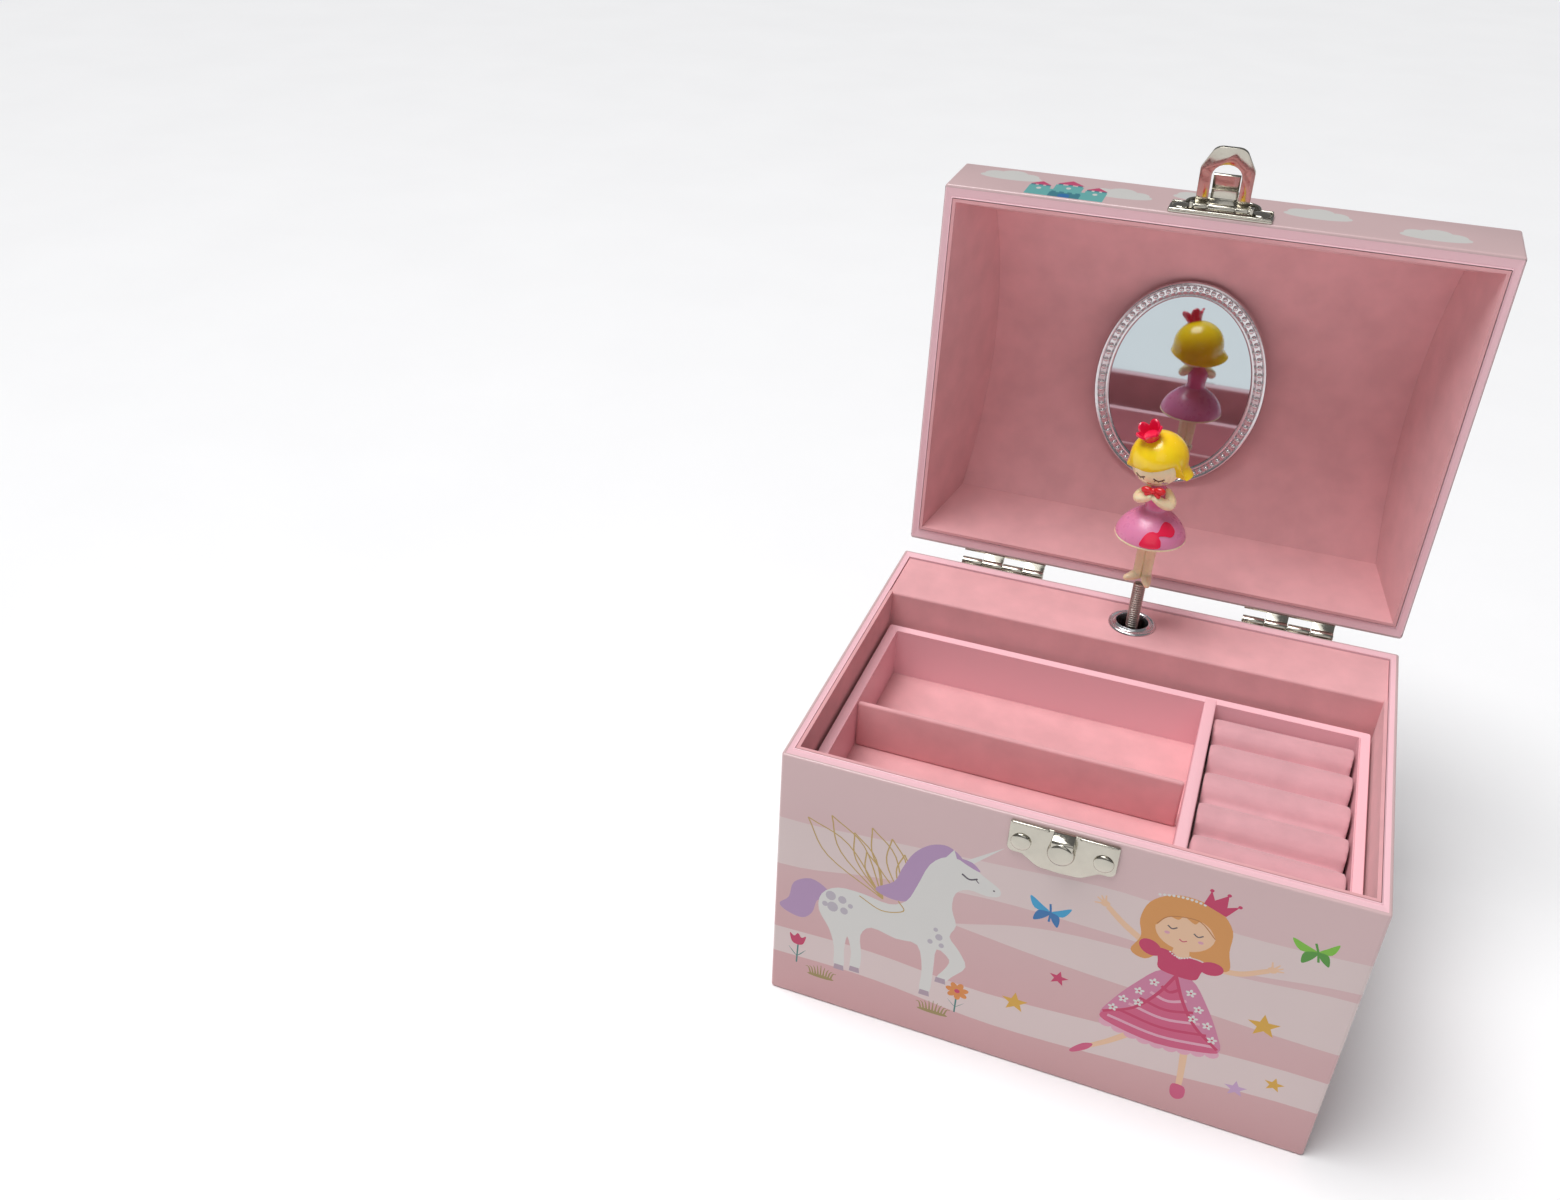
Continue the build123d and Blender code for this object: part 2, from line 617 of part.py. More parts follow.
def lid_lining():
    """Four sloping cards from the rim up to a curved ceiling card."""
    z0, z1 = SEAM, SEAM + 38.0
    rim_x, rim_y = INNER_W - LINER_GAP, INNER_D - LINER_GAP
    top_x, top_front, top_back = 66.2, -45.1, 47.8
    outer = rectangle_at(rim_x, -rim_y, rim_y, z0), rectangle_at(top_x, top_front, top_back, z1)
    inner = (rectangle_at(rim_x - CARD, -rim_y + CARD, rim_y - CARD, z0),
             rectangle_at(top_x - CARD, top_front + CARD, top_back - CARD, z1))
    room = below_arch(CEILING_DROP + CARD + 0.1)
    cards = []
    for i in range(4):
        j = (i + 1) % 4
        lower = [outer[0][i], outer[0][j], inner[0][j], inner[0][i]]
        upper = [outer[1][i], outer[1][j], inner[1][j], inner[1][i]]
        cards.append(hexahedron(lower, upper) & room)
    save(opened(group([cards[0], cards[2]])), "lid_liner_long")
    save(opened(group([cards[1], cards[3]])), "lid_liner_ends")
    half_x, front, back = 69.5, -48.9, 50.6
    ceiling = arched(CEILING_DROP, CEILING_DROP + CARD, -half_x, half_x)
    keep = block(-half_x, half_x, front, back, SEAM, z1 + 5)
    save(opened(ceiling & keep), "lid_ceiling")


def mirror():
    """Oval mirror in a raised frame, facing down from the ceiling."""
    x, y = -3.2, 2.4
    half_x, half_y = 26.7, 35.0
    face = SEAM + 28.4
    border = 4.8
    frame_depth, glass_depth = 1.5, 0.8
    glass_outline = Ellipse(half_x - border, half_y - border)
    frame = Pos(x, y, face) * extrude(Ellipse(half_x, half_y) - glass_outline, frame_depth)
    glass = Pos(x, y, face + frame_depth - glass_depth) * extrude(glass_outline, glass_depth)
    save(opened(frame), "mirror_frame")
    save(opened(glass), "mirror_glass")


def pearl_centres():
    """Bead centres along the arch, from the left end to the right one."""
    headings = list(PEARL_HEADINGS) + [-h for h in reversed(PEARL_HEADINGS)]
    reach = sum(math.cos(math.radians(h)) for h in headings) * PEARL_PITCH
    dome_top = SEAM + LID_WALL + DOME_RISE
    point = (-reach / 2, dome_top + PEARL_D / 2 + 0.1)
    centres = [point]
    for heading in headings:
        turn = math.radians(heading)
        point = (point[0] + PEARL_PITCH * math.cos(turn), point[1] + PEARL_PITCH * math.sin(turn))
        centres.append(point)
    return centres


def handle():
    """Arched wire with pearl beads; its ends go down through the dome to washers."""
    centres = pearl_centres()
    dome_top = SEAM + LID_WALL + DOME_RISE
    wire_low = dome_top - DOME_THICK - 1.4
    route = [(centres[0][0], wire_low)] + centres + [(centres[-1][0], wire_low)]
    path = Plane(origin=(0, HANDLE_Y, 0), x_dir=(1, 0, 0), z_dir=(0, -1, 0)) * Polyline(*route)
    start = Plane(origin=(route[0][0], HANDLE_Y, wire_low), z_dir=(0, 0, 1))
    wire = sweep(start * Circle(WIRE_R), path=path, transition=Transition.ROUND)
    pearls = [Pos(x, HANDLE_Y, z) * Sphere(PEARL_D / 2) for x, z in centres]
    washer_top = dome_top - DOME_THICK - 0.1
    washers = [rod_z(x, HANDLE_Y, washer_top - 0.8, washer_top, 3.0) - wire
               for x in (centres[0][0], centres[-1][0])]
    cuts = [rod_z(x, HANDLE_Y, dome_top - 5, dome_top + 1, WIRE_R)
            for x in (centres[0][0], centres[-1][0])]
    save(opened(wire), "handle_wire")
    save(opened(group(pearls)), "handle_pearls")
    save(opened(group(washers)), "handle_washers")
    return cuts


# ---- figure ---------------------------------------------------------------
def turned(points):
    """A solid of revolution about the spindle's axis from (radius, height) points."""
    outline = make_face(Plane.XZ * Polyline(*points, close=True))
    return Pos(0, FIGURE_Y, BODY_HEIGHT) * revolve(outline, Axis.Z)


def figure():
    spring = rod_z(0, FIGURE_Y, SPRING_BOTTOM, SPRING_TOP, SPRING_R)
    spring -= rod_z(0, FIGURE_Y, SPRING_BOTTOM - 1, SPRING_TOP + 1, SPRING_R - 0.65)
    legs = turned([(0, 15.7), (4.4, 15.7), (4.2, 17.4), (3.0, 20.0), (2.9, 30.9), (0, 30.9)])
    skirt = turned([(0, 31.0), (8.8, 31.0), (10.7, 32.2), (10.8, 33.4), (9.6, 36.0),
                    (7.2, 38.8), (4.4, 41.0), (3.4, 42.0), (0, 42.0)])
    bodice = turned([(0, 42.1), (3.4, 42.1), (3.8, 46.0), (3.0, 49.2), (0, 49.2)])
    for side in (-1, 1):
        arm = Pos(side * 4.6, FIGURE_Y - 2.0, BODY_HEIGHT + 45.6) * Rot(20, side * 22, 0)
        limb = Cylinder(1.5, 7.0)
        bodice += arm * fillet(limb.edges(), 1.2)
    head_centre = Pos(-1.2, FIGURE_Y, BODY_HEIGHT + 57.0)
    head = head_centre * Sphere(7.6)
    head -= block(-20, 20, FIGURE_Y - 20, FIGURE_Y + 20, BODY_HEIGHT + 40, BODY_HEIGHT + 49.3)
    hair = Pos(-1.2, FIGURE_Y + 0.8, BODY_HEIGHT + 58.2) * Sphere(9.2)
    hair -= head
    hair -= block(-20, 20, FIGURE_Y - 20, FIGURE_Y + 20, BODY_HEIGHT + 40, BODY_HEIGHT + 52.0)
    hair -= block(-20, 20, FIGURE_Y - 20, FIGURE_Y - 2.5, BODY_HEIGHT + 40, BODY_HEIGHT + 60.0)
    crown = rod_z(-3.2, FIGURE_Y - 1.0, BODY_HEIGHT + 62, BODY_HEIGHT + 70.2, 3.4)
    crown -= rod_z(-3.2, FIGURE_Y - 1.0, BODY_HEIGHT + 60, BODY_HEIGHT + 72, 2.4)
    crown = crown - hair - Pos(-1.2, FIGURE_Y + 0.8, BODY_HEIGHT + 58.2) * Sphere(9.2)
    bow = block(-2.2, 2.2, FIGURE_Y - 6.6, FIGURE_Y - 3.9, BODY_HEIGHT + 47.0, BODY_HEIGHT + 49.2)
    save(spring, "figure_spring")
    save(legs, "figure_legs")
    save(skirt, "figure_skirt")
    save(bodice - bow, "figure_bodice")
    save(head, "figure_head")
    save(hair, "figure_hair")
    save(crown, "figure_crown")
    save(bow, "figure_bow")


def main():
    os.makedirs("parts", exist_ok=True)
    catch_screws = latch_screws(BODY_HEIGHT - 7.5)
    lid_catch_screws = latch_screws(SEAM + 4.7)
    body_hinge_screws = hinge_screws(BODY_HEIGHT - 8.5)
    lid_hinge_screws = hinge_screws(SEAM + 8.5)
    plate_screws = movement_frame()
    body_walls(catch_screws, body_hinge_screws + plate_screws)
    body_lining()
    platform()
    grommet()
    hinges(body_hinge_screws, lid_hinge_screws)
    latch_lower(catch_screws)
    latch_upper(lid_catch_screws)
    latch_flap()
    latch_tongue()
    save(group(catch_screws + body_hinge_screws), "body_screws")
    save(opened(group(lid_catch_screws + lid_hinge_screws)), "lid_screws")
    spring_barrel()
    winding()
    spindle()
    music_cylinder()
    governor()
    tray()
    handle_cuts = handle()
    lid_shell(lid_catch_screws, lid_hinge_screws, handle_cuts)
    lid_lining()
    mirror()
    figure()


main()
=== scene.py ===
import bpy
import bmesh
import math
import numpy as np
from mathutils import Matrix, Vector, geometry


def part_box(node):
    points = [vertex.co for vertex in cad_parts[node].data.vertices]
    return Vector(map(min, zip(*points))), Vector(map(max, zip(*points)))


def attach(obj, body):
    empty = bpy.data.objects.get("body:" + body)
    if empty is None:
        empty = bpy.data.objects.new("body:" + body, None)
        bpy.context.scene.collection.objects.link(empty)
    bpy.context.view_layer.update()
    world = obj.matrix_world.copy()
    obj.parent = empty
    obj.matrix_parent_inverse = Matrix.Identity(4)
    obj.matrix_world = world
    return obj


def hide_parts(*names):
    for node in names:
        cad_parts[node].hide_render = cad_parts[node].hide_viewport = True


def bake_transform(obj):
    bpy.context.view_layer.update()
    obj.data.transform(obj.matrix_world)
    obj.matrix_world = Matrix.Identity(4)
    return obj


# Ballerina jewellery box around its CAD frame. Lengths are in millimetres until a mesh is made.
# Lid pieces are drawn as when the lid is closed, and opened() takes them to their place at rest.

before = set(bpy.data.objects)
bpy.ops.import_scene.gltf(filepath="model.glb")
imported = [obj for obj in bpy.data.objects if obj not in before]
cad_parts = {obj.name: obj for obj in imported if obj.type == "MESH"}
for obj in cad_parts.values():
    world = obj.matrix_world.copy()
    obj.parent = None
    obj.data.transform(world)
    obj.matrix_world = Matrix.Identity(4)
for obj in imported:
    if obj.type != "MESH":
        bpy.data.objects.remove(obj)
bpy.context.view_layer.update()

MM = 0.001
X, Y, Z = 0, 1, 2


# ---- sizes read from the frame ---------------------------------------------
def low(node, axis):
    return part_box(node)[0][axis] / MM


def high(node, axis):
    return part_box(node)[1][axis] / MM


def middle(node, axis):
    return (low(node, axis) + high(node, axis)) / 2


HALF_W = high("body_front_wall", X)
HALF_D = -low("body_front_wall", Y)
BODY_TOP = high("body_front_wall", Z)
INNER_W = high("body_floor", X)
INNER_D = high("body_floor", Y)
PIVOT_Y = middle("hinge_pins", Y)
PIVOT_Z = middle("hinge_pins", Z)
CLOSING = PIVOT_Z - PIVOT_Y             # a lid height when closed is its Y at rest plus this
SEAM = low("lid_front_wall", Y) + CLOSING
LID_EDGE = high("lid_front_wall", Y) + CLOSING
DOME_TOP = high("lid_dome", Y) + CLOSING
FIGURE_Y = middle("grommet", Y)         # the figure's own axis, which is upright at x = 0
EDGE = 0.6                              # rounding where paper turns over a board's edge
CORNER = 0.9                            # rounding of the box's corners
PAPER = 0.2                             # thickness of the covering paper
KEY_HOLE = high("winding_arbor", X) + 0.3       # radius of the hole for the key's arbor


def opened(points):
    """Closed lid coordinates to the open lid's place at rest."""
    p = np.asarray(points, float)
    return np.stack([p[:, 0], PIVOT_Y + p[:, 2] - PIVOT_Z, PIVOT_Z + PIVOT_Y - p[:, 1]], axis=1)


# ---- meshes ----------------------------------------------------------------
def smooth_shaded(mesh, angle):
    mesh.polygons.foreach_set("use_smooth", [True] * len(mesh.polygons))
    mesh.set_sharp_from_angle(angle=math.radians(angle))


def add_piece(name, shape, body, slot, materials, face_materials=None, lid=False, replaces=(),
              angle=35):
    """Makes a closed mesh of a (points, faces) shape, which rides on a body."""
    points, faces = shape
    if lid:
        points = opened(points)
    mesh = bpy.data.meshes.new(name)
    mesh.from_pydata((np.asarray(points, float) * MM).tolist(), [], faces)
    if face_materials is not None:
        mesh.polygons.foreach_set("material_index", face_materials)
    for item in materials:
        mesh.materials.append(item)
    work = bmesh.new()
    work.from_mesh(mesh)
    bmesh.ops.recalc_face_normals(work, faces=work.faces)
    work.to_mesh(mesh)
    work.free()
    smooth_shaded(mesh, angle)
    piece = bpy.data.objects.new(name, mesh)
    bpy.context.scene.collection.objects.link(piece)
    if body:
        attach(piece, body)
    if replaces:
        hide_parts(*replaces)
    return piece


def subdivided(piece):
    """Rounds a coarse piece off with one applied subdivision."""
    modifier = piece.modifiers.new("round", "SUBSURF")
    modifier.levels = 1
    modifier.render_levels = 1
    applied(piece)


def applied(piece):
    """Applies every modifier that the piece has."""
    graph = bpy.context.evaluated_depsgraph_get()
    mesh = bpy.data.meshes.new_from_object(piece.evaluated_get(graph))
    piece.modifiers.clear()
    piece.data = mesh


def bored(piece, drill):
    """Cuts a closed shape, such as a bar, out of a finished piece."""
    points, faces = drill
    work = bmesh.new()
    corners = [work.verts.new(Vector(p) * MM) for p in points]
    for face in faces:
        work.faces.new([corners[i] for i in face])
    bmesh.ops.recalc_face_normals(work, faces=work.faces)
    mesh = bpy.data.meshes.new("drill")
    work.to_mesh(mesh)
    work.free()
    cutter = bpy.data.objects.new("drill", mesh)
    bpy.context.scene.collection.objects.link(cutter)
    cut = piece.modifiers.new("bore", "BOOLEAN")
    cut.operation = "DIFFERENCE"
    cut.solver = "EXACT"
    cut.use_self = True
    cut.object = cutter
    applied(piece)
    bpy.data.objects.remove(cutter)


def joined(shapes):
    """Several (points, faces) shapes as one."""
    points, faces = [], []
    for part_points, part_faces in shapes:
        start = len(points)
        points.extend(np.asarray(part_points, float).tolist())
        faces.extend([tuple(i + start for i in face) for face in part_faces])
    return points, faces


def moved(shape, offset, scale=(1, 1, 1), turn=None):
    """A copy scaled, turned by a 3x3 matrix and then moved."""
    points = np.asarray(shape[0], float) * np.asarray(scale, float)
    if turn is not None:
        points = points @ np.asarray(turn, float).T
    return points + np.asarray(offset, float), shape[1]


def turn_about(axis, degrees):
    """The 3x3 matrix of a turn about one of the axes."""
    c, s = math.cos(math.radians(degrees)), math.sin(math.radians(degrees))
    i, j = [(1, 2), (2, 0), (0, 1)][axis]
    matrix = np.eye(3)
    matrix[i, i], matrix[j, j], matrix[i, j], matrix[j, i] = c, c, -s, s
    return matrix


def rings_joined(rings, capped=True):
    """Faces between rings of equally many points, with both ends capped, or closed as a torus."""
    count = len(rings[0])
    faces = []
    for i in range(len(rings) - 1 if capped else len(rings)):
        a, b = i * count, (i + 1) % len(rings) * count
        for j in range(count):
            k = (j + 1) % count
            faces.append((a + j, a + k, b + k, b + j))
    if capped:
        faces.append(tuple(reversed(range(count))))
        last = (len(rings) - 1) * count
        faces.append(tuple(range(last, last + count)))
    return np.concatenate([np.asarray(ring, float) for ring in rings]), faces


def loop_band(rings):
    """Rings closed back onto the first one, such as a board's cross-section carried around."""
    return rings_joined(rings, capped=False)


def lathe(profile, sides=48):
    """A solid of revolution about Z from (radius, height) points; the ends lie near the axis."""
    rings = []
    for radius, height in profile:
        angles = np.arange(sides) * 2 * math.pi / sides
        rings.append(np.stack([radius * np.cos(angles), radius * np.sin(angles),
                               np.full(sides, height)], axis=1))
    return rings_joined(rings)


def lathe_ring(profile, centre=(0, 0, 0), sides=48):
    """A ring of revolution about Z whose (radius, height) outline is closed."""
    rings = []
    for i in range(sides):
        angle = 2 * math.pi * i / sides
        rings.append([(r * math.cos(angle) + centre[0], r * math.sin(angle) + centre[1],
                       h + centre[2]) for r, h in profile])
    return loop_band(rings)


def tube(points, radii, sides=12):
    """A round limb along points, with a radius at each and rounded ends."""
    p = np.asarray(points, float)
    r = np.full(len(p), radii) if np.isscalar(radii) else np.asarray(radii, float)
    tangents = np.gradient(p, axis=0)
    tangents /= np.linalg.norm(tangents, axis=1)[:, None]
    side = np.cross(tangents[0], (0.3, 0.9, 0.2))
    rings = []
    for i, tangent in enumerate(tangents):
        side = side - tangent * side.dot(tangent)
        side /= np.linalg.norm(side)
        other = np.cross(tangent, side)
        ends = [(0.0, 1.0)]
        if i == 0:
            ends = [(-0.97, 0.24), (-0.7, 0.71), (-0.3, 0.95), (0.0, 1.0)]
        if i == len(p) - 1:
            ends = [(0.0, 1.0), (0.3, 0.95), (0.7, 0.71), (0.97, 0.24)]
        for along, width in ends:
            angles = np.arange(sides) * 2 * math.pi / sides
            ring = np.outer(np.cos(angles), side) + np.outer(np.sin(angles), other)
            rings.append(p[i] + tangent * along * r[i] + ring * r[i] * width)
    return rings_joined(rings)


def ball(centre, radii, sides=24):
    """An ellipsoid."""
    levels = sides // 2
    profile = [(math.sin(math.pi * i / levels), -math.cos(math.pi * i / levels))
               for i in range(levels + 1)]
    profile[0] = (0.02, -1)
    profile[-1] = (0.02, 1)
    return moved(lathe(profile, sides=sides), centre, radii)


def rounded_bar(x0, x1, y0, y1, z0, z1, edge=0.4, steps=3):
    """A bar with all its long edges rounded, for boards and walls."""
    cx, cy, hx, hy = (x0 + x1) / 2, (y0 + y1) / 2, (x1 - x0) / 2, (y1 - y0) / 2
    rings = []
    levels = [(math.sin(a), 1 - math.cos(a)) for a in np.linspace(0, math.pi / 2, steps + 1)]
    for out, rise in levels:
        inset = edge * (1 - out)
        rings.append(round_rectangle(cx, cy, hx - inset, hy - inset, edge * out + 0.02, z0 + edge * rise))
    for out, rise in reversed(levels):
        inset = edge * (1 - out)
        rings.append(round_rectangle(cx, cy, hx - inset, hy - inset, edge * out + 0.02, z1 - edge * rise))
    return rings_joined(rings)


def round_rectangle(cx, cy, hx, hy, radius, z, steps=4):
    """A rectangle with round corners as a ring of points at one height."""
    ring = []
    for sx, sy, start in ((1, 1, 0), (-1, 1, 90), (-1, -1, 180), (1, -1, 270)):
        for i in range(steps + 1):
            angle = math.radians(start + 90 * i / steps)
            ring.append((cx + sx * (hx - radius) + radius * math.cos(angle),
                         cy + sy * (hy - radius) + radius * math.sin(angle), z))
    return ring


# ---- sheets that follow a line ---------------------------------------------
class Path:
    """A line in a plane, followed by its length. Its zero is at its middle unless given."""

    def __init__(self, points, outward, zero=None):
        self.points = np.asarray(points, float)
        steps = np.diff(self.points, axis=0)
        lengths = np.linalg.norm(steps, axis=1)
        self.length = np.concatenate([[0], np.cumsum(lengths)])
        units = steps / lengths[:, None]
        tangents = np.concatenate([units[:1], (units[1:] + units[:-1]) / 2, units[-1:]])
        tangents /= np.linalg.norm(tangents, axis=1)[:, None]
        self.normals = outward * np.stack([tangents[:, 1], -tangents[:, 0]], axis=1)
        self.length -= self.length[-1] / 2 if zero is None else zero

    def at(self, s):
        position = np.stack([np.interp(s, self.length, self.points[:, i]) for i in (0, 1)], axis=1)
        normal = np.stack([np.interp(s, self.length, self.normals[:, i]) for i in (0, 1)], axis=1)
        return position, normal / np.linalg.norm(normal, axis=1)[:, None]


def rounded_line(corners, steps=5):
    """A line through (a, b, radius) corners, each turned with an arc."""
    points = []
    for i, (a, b, radius) in enumerate(corners):
        here = np.array((a, b), float)
        if radius == 0 or i in (0, len(corners) - 1):
            points.append(here)
            continue
        before = np.array(corners[i - 1][:2], float) - here
        after = np.array(corners[i + 1][:2], float) - here
        before /= np.linalg.norm(before)
        after /= np.linalg.norm(after)
        half = math.acos(max(-1, min(1, before.dot(after)))) / 2
        reach = radius / math.tan(half)
        centre = here + (before + after) / np.linalg.norm(before + after) * radius / math.sin(half)
        start, end = here + before * reach - centre, here + after * reach - centre
        sweep = math.pi - 2 * half
        for k in range(steps + 1):
            t = k / steps
            points.append(centre + (start * math.sin((1 - t) * sweep) + end * math.sin(t * sweep))
                          / math.sin(sweep))
    return points


def bent_sheet(flat, along, across, axis, thickness):
    """Outer and inner points of a sheet: flat[:, 0] runs along one path, flat[:, 1] over the other."""
    plane = [i for i in range(3) if i != axis]
    p, n = along.at(flat[:, 0])
    q, m = across.at(flat[:, 1])
    outer, normal = np.zeros((len(flat), 3)), np.zeros((len(flat), 3))
    outer[:, plane] = p - n * q[:, 1:2]
    outer[:, axis] = q[:, 0]
    normal[:, plane] = -n * m[:, 1:2]
    normal[:, axis] = m[:, 0]
    return outer, outer - normal * thickness


def closed_sheet(outer, inner, triangles):
    """A thin closed solid from a sheet's two sides, which share their triangles."""
    count = len(outer)
    faces = [tuple(t) for t in triangles]
    faces += [tuple(count + i for i in reversed(t)) for t in triangles]
    edges = {(t[i], t[(i + 1) % 3]) for t in triangles for i in range(3)}
    for a, b in sorted(edges):
        if (b, a) not in edges:
            faces.append((b, a, a + count, b + count))
    return np.concatenate([outer, inner]), faces


def inked(sheet, layers, lines=()):
    """Cuts a flat sheet into triangles along every outline; each takes the last ink over it.
    A layer whose ink is None is a hole. The lines are folds, as pairs of points."""
    points, faces, inks, edges = [], [], [], []
    for outline, ink in [sheet] + layers:
        twice_area = sum(p[0] * q[1] - q[0] * p[1] for p, q in zip(outline, [*outline[1:], outline[0]]))
        if twice_area < 0:
            outline = outline[::-1]
        faces.append(list(range(len(points), len(points) + len(outline))))
        points.extend(Vector((float(a), float(b))) for a, b in outline)
        inks.append(ink)
    for line in lines:
        edges.append((len(points), len(points) + 1))
        points.extend(Vector((float(a), float(b))) for a, b in line)
    found = geometry.delaunay_2d_cdt(points, edges, faces, 0, 1e-4)
    flat = np.array([(p.x, p.y) for p in found[0]])
    palette, triangles, chosen = [], [], []
    for triangle, sources in zip(found[2], found[5]):
        if 0 not in sources or inks[max(sources)] is None:
            continue
        ink = inks[max(sources)]
        if ink not in palette:
            palette.append(ink)
        triangles.append(list(triangle))
        chosen.append(palette.index(ink))
    used = sorted({i for t in triangles for i in t})
    renumbered = {old: new for new, old in enumerate(used)}
    return flat[used], [[renumbered[i] for i in t] for t in triangles], chosen, palette


def printed_sheet(name, sheet, layers, lines, along, across, axis, body, slot, thickness=PAPER,
                  swap=False, **more):
    """A bent, printed sheet of paper as a closed piece."""
    flat, triangles, chosen, palette = inked(sheet, layers, lines)
    paths = flat[:, ::-1] if swap else flat
    outer, inner = bent_sheet(paths, along, across, axis, thickness)
    points, faces = closed_sheet(outer, inner, triangles)
    back = palette.index(sheet[1]) if sheet[1] in palette else 0
    indices = chosen + [back] * (len(faces) - len(chosen))
    materials = [INKS[ink] for ink in palette]
    return add_piece(name, (points, faces), body, slot, materials, indices, **more)


def rectangle(a0, a1, b0, b1):
    return [(a0, b0), (a1, b0), (a1, b1), (a0, b1)]


# ---- materials ---------------------------------------------------------------
def srgb(*colour):
    """0-255 display colour to the linear values that shaders take."""
    linear = [((c / 255 + 0.055) / 1.055) ** 2.4 if c > 10 else c / 255 / 12.92 for c in colour]
    return (*linear, 1.0)


def finish(name, colour, roughness=0.4, metallic=0.0, coat=0.0, sheen=0.0, grain=1.0, relief=0.02,
           mottle=0.05, patch=14.0, fade=None, subsurface=0.0, uneven=0.06):
    """A procedural material. Grain and patch are sizes in millimetres, relief a height in them,
    and mottle the share by which the colour varies. fade is (colour, low z, high z)."""
    material = bpy.data.materials.new(name)
    material.use_nodes = True
    nodes, links = material.node_tree.nodes, material.node_tree.links
    shader = nodes["Principled BSDF"]
    place = nodes.new("ShaderNodeTexCoord").outputs["Object"]

    def noise(size, detail):
        texture = nodes.new("ShaderNodeTexNoise")
        texture.inputs["Scale"].default_value = 1 / (size * MM)
        texture.inputs["Detail"].default_value = detail
        links.new(place, texture.inputs["Vector"])
        return texture.outputs["Fac"]

    def mixed(factor, first, second):
        mix = nodes.new("ShaderNodeMix")
        mix.data_type = "RGBA"
        links.new(factor, mix.inputs["Factor"])
        for socket, value in ((mix.inputs["A"], first), (mix.inputs["B"], second)):
            socket = [s for s in mix.inputs if s.name == socket.name and s.type == "RGBA"][0]
            if isinstance(value, tuple):
                socket.default_value = value
            else:
                links.new(value, socket)
        return [s for s in mix.outputs if s.type == "RGBA"][0]

    def ranged(value, low_from, high_from, low_to, high_to):
        node = nodes.new("ShaderNodeMapRange")
        links.new(value, node.inputs["Value"])
        for key, number in (("From Min", low_from), ("From Max", high_from),
                            ("To Min", low_to), ("To Max", high_to)):
            node.inputs[key].default_value = number
        return node.outputs["Result"]

    broad, fine = noise(patch, 3.0), noise(grain, 4.0)
    tones = [tuple(min(1.0, c * (1 + side * mottle)) for c in srgb(*colour)[:3]) + (1.0,)
             for side in (-1, 1)]
    shade = mixed(ranged(broad, 0.3, 0.7, 0, 1), tones[0], tones[1])
    if fade:
        split = nodes.new("ShaderNodeSeparateXYZ")
        links.new(place, split.inputs["Vector"])
        height = ranged(split.outputs["Z"], fade[1] * MM, fade[2] * MM, 0, 1)
        shade = mixed(height, srgb(*fade[0]), shade)
    links.new(shade, shader.inputs["Base Color"])
    links.new(ranged(fine, 0.3, 0.7, max(0.02, roughness - uneven), roughness + uneven),
              shader.inputs["Roughness"])
    bump = nodes.new("ShaderNodeBump")
    bump.inputs["Distance"].default_value = relief * MM
    bump.inputs["Strength"].default_value = 1.0
    links.new(fine, bump.inputs["Height"])
    links.new(bump.outputs["Normal"], shader.inputs["Normal"])
    shader.inputs["Metallic"].default_value = metallic
    shader.inputs["Coat Weight"].default_value = coat
    shader.inputs["Coat Roughness"].default_value = 0.08
    shader.inputs["Sheen Weight"].default_value = sheen
    shader.inputs["Sheen Roughness"].default_value = 0.6
    shader.inputs["Subsurface Weight"].default_value = subsurface
    shader.inputs["Subsurface Scale"].default_value = 1.5 * MM
    return material


PRINT_TONE = 0.87        # share of its plain colour's brightness that a printed ink keeps


def paper(name, colour, **more):
    """Glossy paper with the faint ripple of a laminated sheet."""
    values = dict(roughness=0.3, coat=0.22, grain=7.0, relief=0.008, mottle=0.006, patch=28.0, uneven=0.02)
    values.update(more)
    return finish("paper_" + name, colour, **values)


def ink(name, colour, **more):
    return paper(name, tuple(PRINT_TONE * c for c in colour), **more)


PINK_TOP = (238, 203, 204)
INKS = {name: ink(name, colour) for name, colour in {
    "lid_pink": (239, 205, 206), "band": (243, 221, 219), "white": (240, 238, 234),
    "mane": (194, 156, 200), "spot": (203, 194, 205), "hoof": (190, 166, 182),
    "gold_line": (208, 172, 98), "ink_dark": (84, 74, 88), "magenta": (214, 30, 98),
    "rose": (226, 82, 132), "orchid": (224, 132, 170), "blush": (238, 170, 192),
    "skin": (255, 208, 170), "ginger": (236, 160, 78), "ginger_dark": (200, 124, 56),
    "blue": (40, 172, 226), "blue_dark": (24, 120, 190), "green": (130, 206, 44),
    "green_dark": (76, 160, 36), "gold": (236, 178, 44),
    "leaf": (66, 134, 128), "grass": (168, 148, 84), "orange": (240, 146, 56),
    "turquoise": (112, 196, 194), "turquoise_dark": (52, 138, 156), "aqua": (168, 212, 218),
    "aqua_dark": (96, 164, 178), "aqua_line": (128, 188, 206), "sky": (150, 212, 234),
    "lilac": (214, 172, 216), "red": (224, 60, 70), "yellow": (250, 196, 40),
    "blond": (222, 176, 66), "blond_light": (246, 222, 140), "petal": (244, 176, 200),
}.items()}
# The body paper darkens from 78 mm down to 4 mm: partly the print's own gradient, partly painted shade.
INKS["body_pink"] = ink("body_pink", PINK_TOP, fade=((200, 152, 154), 4.0, 78.0))
INKS["rim_pink"] = paper("rim_pink", (240, 196, 204), roughness=0.36, coat=0.1, grain=1.6)
INKS["suede"] = finish("lining_suede", (224, 164, 168), roughness=0.82, sheen=0.25, grain=0.35,
                       relief=0.05, mottle=0.06, patch=9.0)
INKS["tray_rim"] = paper("tray_rim", (240, 190, 198), roughness=0.4, coat=0.08, grain=1.4)

